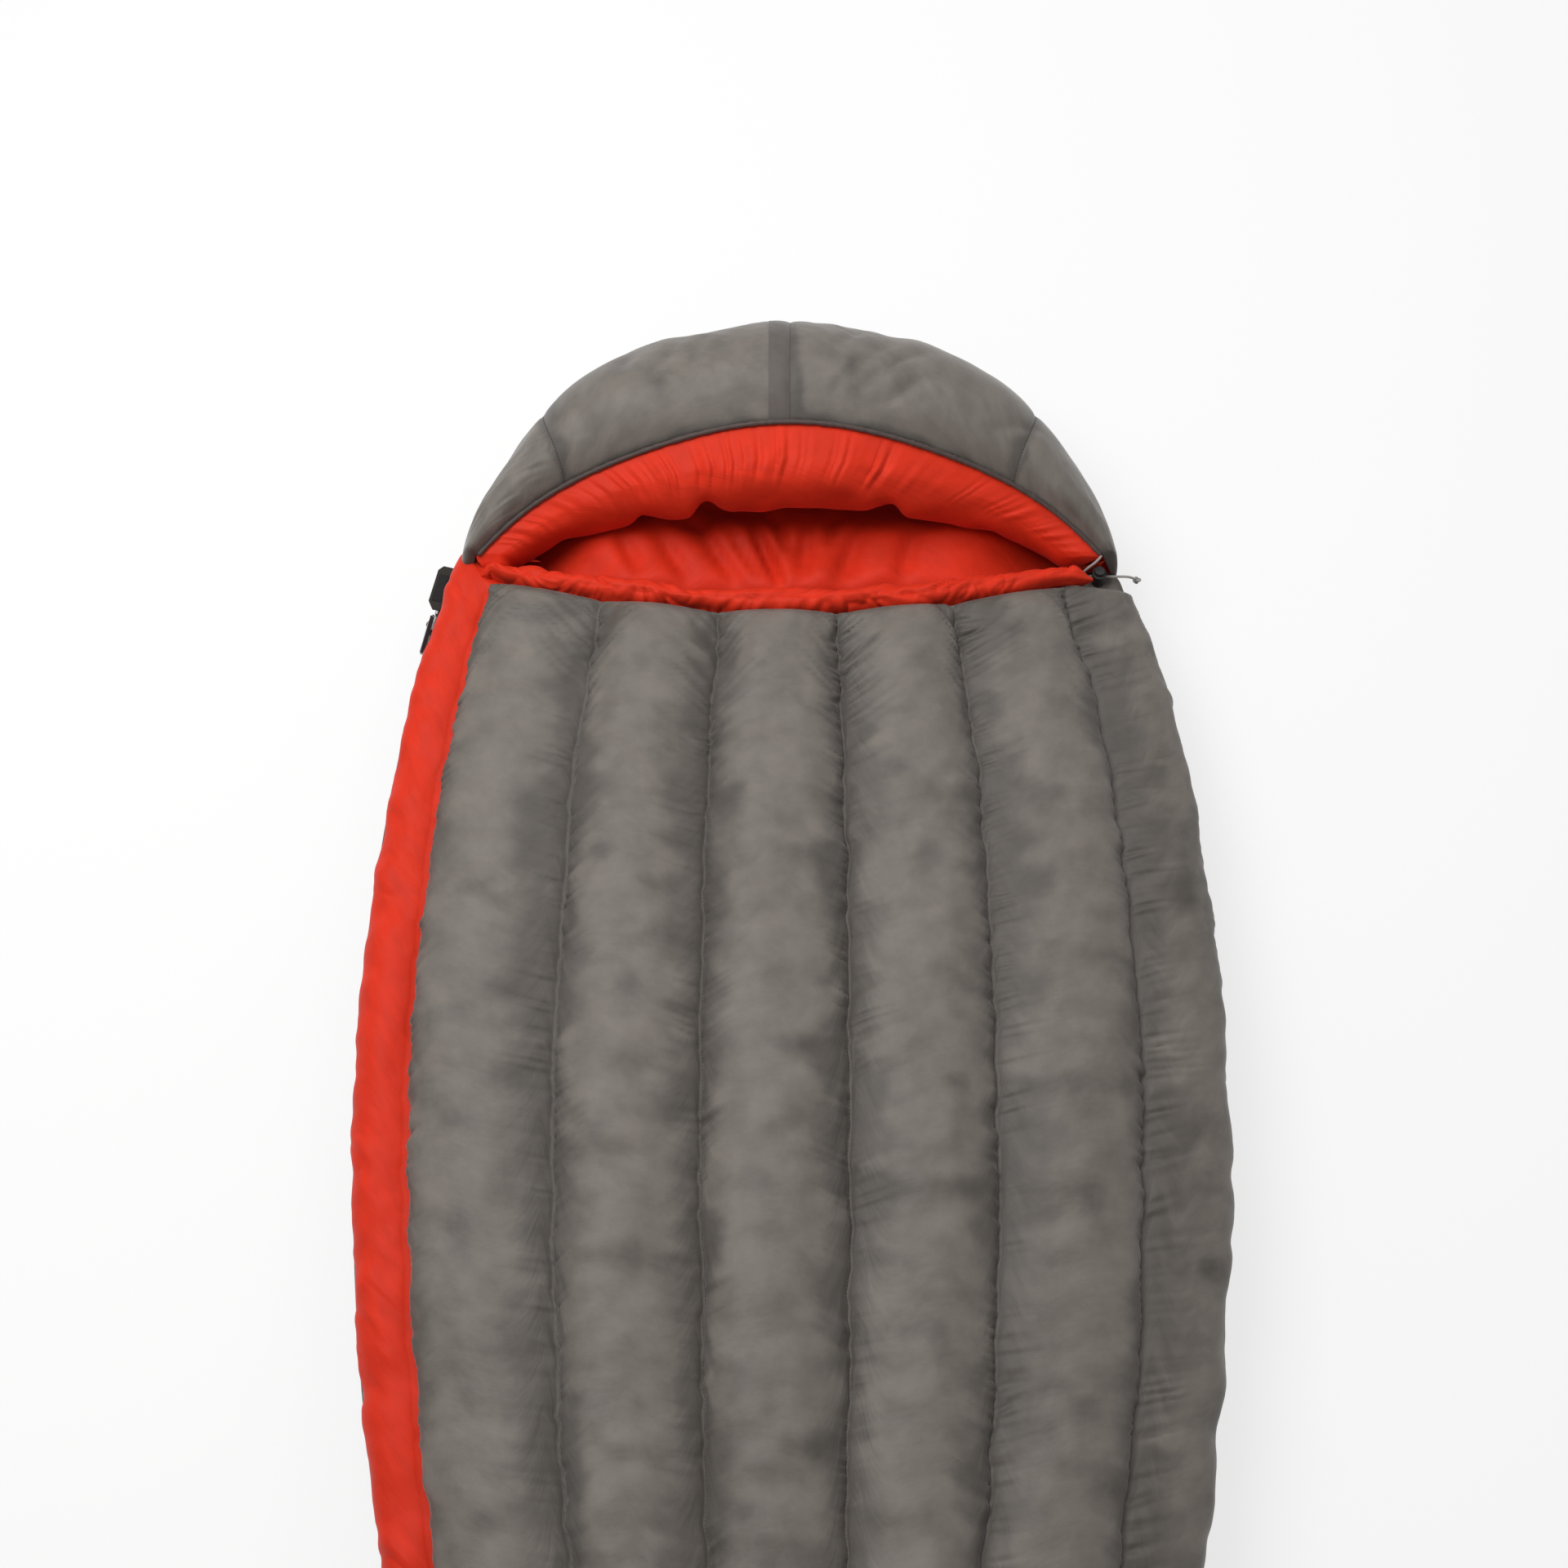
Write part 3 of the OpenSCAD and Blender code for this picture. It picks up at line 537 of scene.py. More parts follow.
# Near-black tunnel tape: painted shadow line along the valley between the hood crown and the face roll.
RIM_SHADOW_TAPE = ClothFinish("rim_tape_painted_shadow", "grey_cloth", (0.060, 0.040, 0.035), 0.2, 0.006, crinkle=0.3)
RED_LINING = ClothFinish(
    "red_lining_nylon", "red_cloth", (0.640, 0.030, 0.010), 0.13, 0.03, sheen=0.03, specular=0.12
)
BLACK_WEBBING = ClothFinish(
    "black_webbing", "black_webbing", (0.016, 0.014, 0.013), 0.15, 0.004, 0.7, 0.15, Weave.WEBBING, 0.7, 0.05
)
BLACK_PILE = cord_cloth("black_pile", "hook_loop", (0.012, 0.011, 0.011), 0.3, 0.0012, 0.85, 0.3, 0.6, 0.4)
GREY_CORD = cord_cloth("grey_cord", "grey_cord", (0.34, 0.32, 0.30), 0.2, 0.002, 0.7, 0.2, 0.9, 0.0)
# Thread far darker than the shell: painted shade of the stitch grooves that it lies in.
THREAD_IN_SHADE = cord_cloth("thread_painted_groove_shade", "grey_cloth", (0.042, 0.037, 0.033), 0.15, 0.002, 0.6, 0.2, 0.4, 0.0)
BLACK_PLASTIC = HardFinish(
    "black_plastic", "black_plastic", (0.018, 0.018, 0.018), (0.05, 0.05, 0.05), 0.0, 0.38
)
BLACK_NYLON = HardFinish(
    "black_nylon", "black_nylon", (0.022, 0.02, 0.02), (0.045, 0.043, 0.042), 0.0, 0.34, 1500
)
BLACK_METAL = HardFinish(
    "black_enamel", "zip_metal", (0.03, 0.03, 0.031), (0.32, 0.32, 0.33), 0.85, 0.36, 700, 0.1
)
SPRING_STEEL = HardFinish(
    "spring_steel", "spring_steel", (0.56, 0.57, 0.58), (0.75, 0.75, 0.76), 1.0, 0.3, 1200, 0.05
)


# Meshes


def add_mesh(
    name: str, verts: Points, faces: list, uvs: Array | None = None, fill: Array | None = None
) -> Piece:
    """A smooth mesh object with a UV map in metres.

    Args:
        name: the piece's name.
        verts: points, one row each.
        faces: vertex numbers of each face.
        uvs: one pair for each vertex, or None for a map seen from above.
        fill: how much down lies behind each vertex, or None for all of it.

    Returns:
        The new object, linked to the scene.
    """
    verts = np.asarray(verts, float)
    mesh = bpy.data.meshes.new(name)
    mesh.from_pydata([tuple(v) for v in verts], [], [tuple(f) for f in faces])
    mesh.validate()
    layer = mesh.uv_layers.new(name="UVMap")
    uvs = verts[:, :2] if uvs is None else uvs
    corner = np.zeros(len(mesh.loops), np.int32)
    mesh.loops.foreach_get("vertex_index", corner)
    layer.data.foreach_set("uv", np.asarray(uvs, np.float32)[corner].ravel())
    mesh.polygons.foreach_set("use_smooth", np.ones(len(mesh.polygons), bool))
    down = mesh.attributes.new(DOWN_AND_SHADE, "FLOAT", "POINT")
    fill = np.ones(len(verts)) if fill is None else fill
    down.data.foreach_set("value", np.asarray(fill, np.float32).ravel())
    mesh.update()
    obj = bpy.data.objects.new(name, mesh)
    bpy.context.scene.collection.objects.link(obj)
    return obj


def grid_faces(rows: int, cols: int, wrap: bool = False, flip: bool = False) -> list:
    """Quads of a grid of points.

    Args:
        rows: number of rows.
        cols: number of columns.
        wrap: joins the last column to the first.
        flip: turns the faces over.

    Returns:
        Lists of four vertex numbers.
    """
    i, j = np.meshgrid(np.arange(rows - 1), np.arange(cols if wrap else cols - 1), indexing="ij")
    n = (j + 1) % cols
    quads = np.stack([i * cols + j, i * cols + n, (i + 1) * cols + n, (i + 1) * cols + j], -1).reshape(-1, 4)
    return (quads[:, ::-1] if flip else quads).tolist()


def grid_uvs(p: Points) -> Array:
    """Lengths along the columns and rows of a grid, as a flat list of pairs.

    Args:
        p: the grid.

    Returns:
        One pair for each point.
    """
    along = run_along_rows(p)
    across = run_along_rows(np.moveaxis(p, 1, 0)).T
    across = across - across[:, p.shape[1] // 2][:, None]
    return np.stack([across, along], -1).reshape(-1, 2)


def run_along_rows(p: Points) -> Array:
    """Length from the first row of a grid to each row, for every column."""
    steps = np.linalg.norm(np.diff(p, axis=0), axis=-1)
    return np.concatenate([np.zeros((1, p.shape[1])), np.cumsum(steps, 0)], 0)


def add_grid(
    name: str, p: Points, wrap: bool = False, flip: bool = False, fill: Array | None = None, flat: str = ""
) -> Piece:
    """A mesh object from a grid of points.

    Args:
        name: the piece's name.
        p: the points.
        wrap: joins the last column to the first.
        flip: turns the faces over.
        fill: how much down lies behind each point, or None for all of it.
        flat: the two axes that the UV map is laid on, or nothing for lengths along the grid.

    Returns:
        The new object.
    """
    rows, cols = p.shape[:2]
    uvs = p.reshape(-1, 3)[:, ["xyz".index(axis) for axis in flat]] if flat else grid_uvs(p)
    return add_mesh(name, p.reshape(-1, 3), grid_faces(rows, cols, wrap, flip), uvs, fill)


def capped_sweep(name: str, rings: Points, flip: bool = False) -> Piece:
    """A closed tube through rings of points, with a flat face on each end.

    Args:
        name: the piece's name.
        rings: a grid of points, one row for each ring.
        flip: turns the faces over.

    Returns:
        The new object.
    """
    rows, cols = rings.shape[:2]
    faces = grid_faces(rows, cols, True, flip)
    first, last = list(range(cols)), [(rows - 1) * cols + j for j in range(cols)]
    faces += [first, last[::-1]] if flip else [first[::-1], last]
    return add_mesh(name, rings.reshape(-1, 3), faces, grid_uvs(rings))


def tube_rings(path: Points, radius: float | Array, sides: int) -> Points:
    """Rings of a round tube along a path.

    Args:
        path: points of the middle line.
        radius: one radius, or one for each point.
        sides: points on each ring.

    Returns:
        A grid of points, one row for each ring.
    """
    way = unit(np.gradient(path, axis=0))
    side = np.cross(way, np.array([0.0, 0.0, 1.0]))
    weak = np.linalg.norm(side, axis=-1) < 0.2
    side[weak] = np.cross(way[weak], np.array([0.0, 1.0, 0.0]))
    side = unit(side)
    r = np.broadcast_to(radius, (len(path),))[:, None, None]
    return path[:, None] + r * round_ring(side, np.cross(side, way), sides)


def round_ring(side: Points, over: Points, sides: int) -> Points:
    """Directions round a ring at each station, from its two cross directions."""
    turn = ring_turns(sides)[None, :, None]
    return np.cos(turn) * side[:, None] + np.sin(turn) * over[:, None]


def tube(name: str, path: Points, radius: float | Array, sides: int) -> Piece:
    """A round tube along a path."""
    return capped_sweep(name, tube_rings(path, radius, sides), flip=True)


def dress(obj: Piece, finish: Finish, *nodes: str, body: str = BAG, soft: float = 0.0) -> Piece:
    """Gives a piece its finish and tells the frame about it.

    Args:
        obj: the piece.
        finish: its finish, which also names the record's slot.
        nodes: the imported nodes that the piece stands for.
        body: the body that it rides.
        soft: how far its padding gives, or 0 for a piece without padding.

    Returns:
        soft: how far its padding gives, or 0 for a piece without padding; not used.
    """
    obj.data.materials.clear()
    obj.data.materials.append(finish.make())
    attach(obj, body)
    if nodes:
        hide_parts(*nodes)
    log.info("%s: %d points on %s", obj.name, len(obj.data.vertices), body)
    return obj


def softened_copy(node: str, name: str, width: float, finish: Finish, body: str = BAG) -> None:
    """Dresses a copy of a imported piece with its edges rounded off.

    Args:
        node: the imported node, which the copy stands for.
        name: name of the new piece.
        width: width of the rounding.
        finish: the copy's finish.
        body: the body that it rides.
    """
    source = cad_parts[node].data
    verts = np.zeros(len(source.vertices) * 3)
    source.vertices.foreach_get("co", verts)
    verts = verts.reshape(-1, 3)
    _, first, index = np.unique(np.round(verts, 6), axis=0, return_index=True, return_inverse=True)
    index = index.ravel()
    faces = [[int(index[v]) for v in f.vertices] for f in source.polygons]
    obj = add_mesh(name, verts[first], [f for f in faces if len(set(f)) == len(f)])
    joined = obj.modifiers.new("flat_faces", "DECIMATE")
    joined.decimate_type = "DISSOLVE"
    joined.angle_limit = math.radians(1)
    rounding = obj.modifiers.new("rounding", "BEVEL")
    rounding.width = width
    rounding.segments = 2
    rounding.limit_method = "ANGLE"
    rounding.angle_limit = math.radians(30)
    rounding.harden_normals = True
    dress(obj, finish, node, body=body)


STITCH_SHAPE = ((-0.36, 0.15), (-0.2, 1.0), (0.2, 1.0), (0.36, 0.15))
STITCH_SIDES = 6
THREAD_HALF = 0.00042


def stitch_row(name: str, path: Points, out: Points, pitch: float = 0.0032) -> None:
    """Dresses a row of sewn stitches along a path.

    Args:
        name: the piece's name.
        path: points that the row follows.
        out: outward direction at each point.
        pitch: distance from stitch to stitch.
    """
    run = run_along(path)
    mids = np.arange(pitch / 2, run[-1], pitch)

    def at(values: Points, s: Array) -> Points:
        """Values of a path at given lengths."""
        return np.stack([np.interp(s, run, values[:, k]) for k in range(3)], -1)

    normal = unit(at(out, mids))
    centre, ahead = at(path, mids), unit(at(path, mids + pitch * 0.2) - at(path, mids - pitch * 0.2))
    ring = round_ring(unit(np.cross(normal, ahead)), normal, STITCH_SIDES)
    rings = []
    for along, thick in STITCH_SHAPE:
        spot = centre[:, None] + ahead[:, None] * (along * pitch) + THREAD_HALF * thick * ring
        rings.append(spot + normal[:, None] * THREAD_HALF * 0.5 * thick)
    first = list(range(STITCH_SIDES))
    count = STITCH_SIDES * len(STITCH_SHAPE)
    one = grid_faces(len(STITCH_SHAPE), STITCH_SIDES, True)
    one += [first[::-1], [v + count - STITCH_SIDES for v in first]]
    faces = [[v + k * count for v in face] for k in range(len(mids)) for face in one]
    dress(add_mesh(name, np.stack(rings, 1).reshape(-1, 3), faces), THREAD_IN_SHADE)


# Form of the bag


@dataclass(frozen=True)
class BagForm:
    """Sizes of the bag's body and the curves that they give."""

    length: float = 1.930
    shoulder_width: float = 0.752
    foot_width: float = 0.410
    side_radius: float = 2.000
    shoulder_drop: float = 0.480
    seam_height: float = 0.078
    chest_height: float = 0.172
    edge_height: float = 0.150
    foot_height: float = 0.184
    cap_depth: float = 0.046
    puff_height: float = 0.018
    front_thick: float = 0.036
    side_thick: float = 0.038
    back_thick: float = 0.032
    hood_length: float = 0.240
    edge_drop: float = 0.014
    chest_scoop: float = 0.052
    zip_top_drop: float = 0.037
    zip_end_drop: float = 1.020
    zip_gap: float = 0.008
    split_drop: float = 0.012
    close_run: float = 0.050
    fit_gap: float = 0.0003
    front_lines: int = 6
    line_first: float = -0.874
    line_last: float = 0.808
    back_lines: int = 4
    groove: float = 0.006
    top_power: float = 2 / 2.4
    low_power: float = 2 / 3.4
    foot_slope: float = 0.12
    sole: float = 0.0015
    neck_draw_left: float = 0.022
    neck_draw_right: float = 0.034

    @property
    def y_head(self) -> float:
        """Top of the hood."""
        return self.length / 2

    @property
    def y_neck(self) -> float:
        """Neck line, where the back quilt meets the hood."""
        return self.y_head - self.hood_length

    @property
    def y_wide(self) -> float:
        """Widest place of the body."""
        return self.y_neck - self.shoulder_drop

    @property
    def y_end(self) -> float:
        """End seam at the foot."""
        return -self.length / 2 + self.cap_depth

    @property
    def zip_top(self) -> float:
        """Upper end of the zip."""
        return self.y_neck - self.zip_top_drop

    @property
    def zip_end(self) -> float:
        """Lower end of the zip."""
        return self.y_neck - self.zip_end_drop

    @property
    def y_split(self) -> float:
        """Where the zip's opening begins to close."""
        return self.zip_end - self.split_drop

    @property
    def edge_mid(self) -> float:
        """Chest edge in the middle."""
        return self.y_neck - self.edge_drop - self.chest_scoop

    def edge_y(self, u: Array) -> Array:
        """Chest edge over the width, u from -1 to 1."""
        return self.edge_mid + self.chest_scoop * u * u

    def half_width(self, y: Array) -> Array:
        """Half width in plan: one arc to the hips, then an easy curve to the foot.

        Args:
            y: places along the bag.

        Returns:
            One half width for each place.
        """
        y = np.asarray(y, float)
        r, w = self.side_radius, self.shoulder_width / 2
        arc = w - r + np.sqrt(np.maximum(r * r - (y - self.y_wide) ** 2, 0))
        run = self.y_split - self.y_end
        rise = self.y_wide - self.y_split
        start = w - r + math.sqrt(r * r - rise * rise)
        slope = rise / math.sqrt(r * r - rise * rise)
        s = np.clip((self.y_split - y) / run, 0, 1)
        leg = (
            (2 * s**3 - 3 * s * s + 1) * start
            - (s**3 - 2 * s * s + s) * slope * run
            + (3 * s * s - 2 * s**3) * self.foot_width / 2
            - (s**3 - s * s) * self.foot_slope * run
        )
        return np.where(y >= self.y_split, arc, leg)

    def neck_draw(self, x: Array, drop: Array, reach: float) -> Array:
        """Share of the width that is left where the neck is drawn in, at a drop below the edge."""
        return 1 - np.where(x > 0, self.neck_draw_right, self.neck_draw_left) * bump(drop, reach)

    def top_height(self, y: Array) -> Array:
        """Height of the top quilt along the bag.

        Args:
            y: places along the bag.

        Returns:
            One height for each place.
        """
        up = ease((y - self.y_wide) / (self.edge_mid - self.y_wide))
        down = ease((self.y_wide - y) / (self.y_wide - self.y_end))
        to_edge, to_foot = self.edge_height - self.chest_height, self.foot_height - self.chest_height
        return self.chest_height + np.where(y > self.y_wide, to_edge * up, to_foot * down)

    def seam_gap(self, u: Array, y: Array) -> Array:
        """Half opening at the side seam, wide over the zip."""
        open_share = np.clip((y - self.y_split + self.close_run) / self.close_run, 0, 1)
        return self.fit_gap / 2 + (self.zip_gap - self.fit_gap / 2) * (1 - u) / 2 * open_share

    def top_u(self, a: Array) -> Array:
        """Place over the width for an angle round the top section."""
        return -signed_power(np.cos(a), self.top_power)

    def top_turn(self, u: Array) -> Array:
        """Angle round the top section for a place over the width."""
        return np.arccos(-signed_power(u, 1 / self.top_power))

    def _top(self, a: Array, y: Array, thin: float, low: float) -> Points:
        """Top section drawn in from the side and from above.

        Args:
            a: angles round the section.
            y: places along the bag.
            thin: how far it is drawn in from the side.
            low: how far it is drawn in from above.

        Returns:
            The points.
        """
        u, s = self.top_u(a), np.clip(np.sin(a), 0, 1) ** self.top_power
        z = self.seam_height + self.seam_gap(u, y)
        rise = self.top_height(y) - self.puff_height - low - z
        return stack((self.half_width(y) - thin) * u, y, z + rise * s)

    def top_out(self, a: Array, y: Array) -> Points:
        """Stitch level of the top quilt's shell."""
        return self._top(a, y, 0.0, 0.0)

    def top_in(self, a: Array, y: Array) -> Points:
        """Level of the top quilt's lining."""
        return self._top(a, y, self.side_thick, self.front_thick)

    def _low(self, a: Array, y: Array, thin: float, floor: float) -> Points:
        """Back section drawn in from the side and from below.

        Args:
            a: angles round the section.
            y: places along the bag.
            thin: how far it is drawn in from the side.
            floor: height of its lowest place.

        Returns:
            The points.
        """
        u, s = -signed_power(np.cos(a), self.low_power), np.clip(np.sin(a), 0, 1) ** self.low_power
        z = self.seam_height - self.seam_gap(u, y)
        rise = np.maximum(0, z * (1 - s) - self.sole) / (z - self.sole)
        return stack((self.half_width(y) - thin) * u, y, floor + (z - floor) * rise)

    def low_out(self, a: Array, y: Array) -> Points:
        """Outer level of the back quilt."""
        return self._low(a, y, 0.0, 0.0)

    def low_in(self, a: Array, y: Array) -> Points:
        """Level of the back quilt's lining."""
        return self._low(a, y, self.side_thick, self.back_thick)

    def front_turns(self) -> Array:
        """Angles of the top quilt's seams and stitch lines, from zip side to far side."""
        lines = np.linspace(self.line_first, self.line_last, self.front_lines)
        return self.top_turn(np.concatenate([[-1], lines, [1]]))

    def back_turns(self) -> Array:
        """Angles of the back quilt's seams and stitch lines."""
        return np.arccos(-signed_power(np.linspace(-1, 1, self.back_lines + 2), 1 / self.low_power))

    def zip_turn(self, y: float) -> float:
        """Angle on the zip side's curve at a place along the bag."""
        return math.asin((y - self.y_wide) / self.side_radius)

    def zip_spot(self, turn: Array, out: Array, up: Array) -> Points:
        """Points beside the zip's curve: turn along it, out from it and up from the seam.

        Args:
            turn: angle along the curve.
            out: distance out from it.
            up: height over the seam.

        Returns:
            The points.
        """
        r = self.side_radius + out
        x = self.side_radius - self.shoulder_width / 2 - r * np.cos(turn)
        return stack(x, self.y_wide + r * np.sin(turn), self.seam_height + up)


FORM = BagForm()
EDGE_STEPS = np.linspace(0, 1, 6)[1:]


def channel_columns(turns: Array, share: Array) -> tuple[Array, ...]:
    """Columns of a quilt, with one on every stitch line.

    Args:
        turns: angles of the seams and stitch lines.
        share: stations over one channel, from 0 to 1.

    Returns:
        Angle, share of the channel's width and number of the channel, each as one row.
    """
    parts = []
    for c, (low, high) in enumerate(zip(turns, turns[1:])):
        t = share if c == len(turns) - 2 else share[:-1]
        parts.append(np.stack(np.broadcast_arrays(low + t * (high - low), t, c)))
    return tuple(row[None, :] for row in np.concatenate(parts, 1))


def turned_in(edge: Points, depth: float) -> Points:
    """Columns that follow a side edge, straight in towards the middle."""
    inward = np.sign(edge[:, None]) * np.array([-depth, 0, 0])
    return edge[:, None] + inward * EDGE_STEPS[None, :, None]


def rounded(e: Array) -> Array:
    """Quarter of a circle from 0 to 1."""
    e = np.clip(e, 0, 1)
    return np.sqrt(e * (2 - e))


def looped(p: Array) -> Array:
    """A grid with its first column once more at the end."""
    return np.concatenate([p, p[:, :1]], 1)


@dataclass
class QuiltGrid:
    """Where every point of the top quilt's skin lies.

    The fields are the share of its channel's width, the channel, the distance to the nearest stitch line,
    the place along the bag, the distance below the chest edge and the length round the section.
    """

    t: Array
    channel: Array
    near: Array
    y: Array
    below: Array
    girth: Array

    @property
    def flank(self) -> Array:
        """Number of the half channel that each point lies on."""
        return 2 * self.channel + (self.t > 0.5)


@dataclass
class TopQuilt:
    """Top quilt: seven filled channels along the bag, the first of them red beside the zip."""

    form: BagForm = FORM
    rows: int = 760
    channel_cols: int = 33
    lump: float = 0.0030
    gather: float = 0.030
    sink: float = 0.006
    scallop: float = 0.005
    end_run: float = 0.045
    pucker: float = 0.0034
    pucker_step: float = 0.0075
    crinkle: float = 0.0040
    crinkle_step: float = 0.0055
    crinkle_reach: float = 0.013
    edge_gather: float = 0.0026
    panel_fold: float = 0.0026
    line_sway: float = 0.0018
    dark_band: float = 0.026
    left_corner: float = 0.026
    right_corner: float = 0.016
    tucked_x: float = 0.264
    tucked_y: float = 0.696
    tucked_height: float = 0.0745
    across_spare: float = 0.010
    edge_fold: float = 0.002
    edge_bulge: float = 0.004
    lining_puff: float = 0.004
    lining_lump: float = 0.0015

    def _skin(self) -> tuple[QuiltGrid, Points, Array]:
        """Puffed outer skin before it settles.

        Returns:
            Where its points lie on the quilt, the points, and how much down is behind each.
        """
        f = self.form
        a, t, channel = channel_columns(f.front_turns(), crowded(self.channel_cols, 0.5))
        u = f.top_u(a)
        top = f.edge_y(u) + self.scallop * puff(t)
        top = top + self.left_corner * ease((-u - 0.86) / 0.14) + self.right_corner * ease((u - 0.93) / 0.07)
        s = np.linspace(0, 1, self.rows)[:, None]
        y = top + (f.y_end - top) * (0.62 * s + 0.38 * s * s)
        out = f.top_out(a, y)
        way = out - f.top_in(a, y)
        way[..., 0] *= np.where(channel == 0, 0.1, 1.0)
        chords = np.linalg.norm(np.diff(f.top_out(f.front_turns(), np.array(f.y_wide)), axis=0), axis=-1)
        chord = chords[channel.astype(int)]
        near = np.minimum(t, 1 - t) * chord + 0 * y
        girth = np.cumsum(np.linalg.norm(np.diff(out, axis=1, prepend=out[:, :1]), axis=-1), 1)
        grid = QuiltGrid(t, channel, near, y, top - y, girth)
        crease, strength = self._puckers(grid)
        end = rounded(np.minimum(top - y, y - f.y_end) / self.end_run)
        noise = SoftNoise(11)
        uneven = 1 + 0.12 * noise(girth, y, 0.12, 0.16) + 0.08 * noise(girth + 5, y, 0.05, 0.07)
        lumps = noise(girth + 9, y, 0.045, 0.035) + 0.6 * noise(girth + 17, y, 0.022, 0.018)
        rise = f.puff_height * np.minimum(1.0, chord / chords[2]) + self.sink
        lift = (rise * puff(t) * uneven - self.sink + self.lump * lumps * puff(t)) * end
        grey = self.pucker * 2 * strength * (crease - 0.5) + self._edge_gathers(grid)
        lift = lift + np.where(channel == 0, self._panel_folds(grid), grey)
        p = out + unit(way) * lift[..., None]
        line = np.round(channel + t) * 7.0
        sway = noise.lane(line, y, 0.03) + 0.6 * noise.lane(line + 2, y, 0.011)
        p[..., 0] += self.line_sway * sway * bump(near, 0.02) * end
        p[..., 0] *= f.neck_draw(u, np.maximum(grid.below, 0), 0.085)
        tucked = ease((p[..., 0] - self.tucked_x) / 0.014) * ease((y - self.tucked_y) / 0.012)
        p[..., 2] += tucked * np.minimum(0, self.tucked_height - p[..., 2])
        # streaks widen and narrow the dark band beside the stitch lines with the creases: painted crease
        # shade, strongest near the chest edge.
        streaks = 0.15 + 0.5 * bump(grid.below, 0.2) + 0.4 * noise(girth + 23, y, 0.08, 0.09)
        streaks = np.clip(streaks, 0, 0.85) * (crease - 0.5)
        # thin takes the down value away in the crease valleys beside the stitch lines: painted crease shadow.
        thin = np.clip(1.3 * strength * ease((0.34 - crease) / 0.34), 0, 1)
        return grid, p, self._fill(grid, near * (1 + streaks)) * (1 - thin)

    def _puckers(self, g: QuiltGrid) -> tuple[Array, Array]:
        """Creases that run out from the stitch lines and up towards the chest edge.

        Args:
            g: where the points lie.

        Returns:
            The cloth's height over the creases from 0 to 1, and how strong they are at each point.
        """
        noise, flank, chest = SoftNoise(13), g.flank, bump(g.below, 0.13)
        slant = 0.35 + 0.55 * chest + 0.25 * noise.lane(flank, g.y, 0.08)
        crease = folded(noise.lane(flank, g.y - slant * g.near, self.pucker_step), middle=0)
        patch = np.clip(0.75 + 0.7 * noise.lane(flank + 40, g.y, 0.045), 0.15, 1.5)
        reach = 0.017 + 0.010 * chest + 0.006 * noise.lane(flank + 60, g.y, 0.03)
        strength = (1 - bump(g.near, 0.0032)) * bump(g.near, reach)
        return crease, patch * strength * (0.62 + 0.38 * chest)

    def _crinkles(self, g: QuiltGrid) -> Array:
        """Height of the small sharp crinkles beside the stitching, which the settled cloth gets on top.

        Args:
            g: where the points lie.

        Returns:
            The height at each point, 0 on the red panel.
        """
        noise, flank = SoftNoise(14), g.flank
        slant = 0.5 + 0.6 * noise.lane(flank + 5, g.y, 0.03)
        fold = folded(noise.lane(flank, g.y - slant * g.near, self.crinkle_step), 0.6)
        patch = np.clip(0.55 + 0.9 * noise.lane(flank + 70, g.y, 0.035), 0, 1.4)
        strength = (1 - bump(g.near, 0.002)) * bump(g.near, self.crinkle_reach)
        height = self.crinkle * fold * patch * strength * (0.55 + 0.45 * bump(g.below, 0.2))
        return np.where(g.channel == 0, 0, height)

    def _edge_gathers(self, g: QuiltGrid) -> Array:
        """Short gathers that run down from the chest edge."""
        fold = folded(SoftNoise(15).line(g.channel * 0.7 + g.t * 0.13 + 0.3 * g.below, 0.0085))
        return self.edge_gather * fold * bump(g.below - 0.012, 0.014) * ease(g.below / 0.006)

    def _panel_folds(self, g: QuiltGrid) -> Array:
        """Soft slanting folds on the red side panel.

        Args:
            g: where the points lie.

        Returns:
            The height at each point.
        """
        noise = SoftNoise(17)
        fold = folded(noise(0.66 * g.girth + 0.75 * g.y, 0.75 * g.girth - 0.66 * g.y, 0.013, 0.05), 0.8, 0.45)
        patch = np.clip(0.7 + 0.8 * noise(g.girth + 3, g.y, 0.2, 0.08), 0, 1.4)
        return self.panel_fold * fold * puff(g.t) * patch

    def _fill(self, g: QuiltGrid, near: Array) -> Array:
        """How much down lies behind each point: little beside the stitching, where the dark band is widened
        as painted valley shade, little along the chest edge, and in clusters elsewhere.

        Args:
            g: where the points lie.
            near: distance to the nearest stitch line, with streaks.

        Returns:
            A share from 0 to 1.
        """
        noise, flank = SoftNoise(19), g.flank
        ragged = 1 + 0.5 * noise.lane(flank, g.y, 0.05) + 0.3 * noise.lane(flank + 30, g.y, 0.014)
        full = ease((near + 0.004) / np.maximum(1.9 * self.dark_band * ragged, 0.002))
        full = full * ease((g.below + 0.004) / 0.016)
        return np.clip(full - 0.9 * noise.clumps(g.girth, g.y, 0.034, 0.030, 0.25), 0, 1)

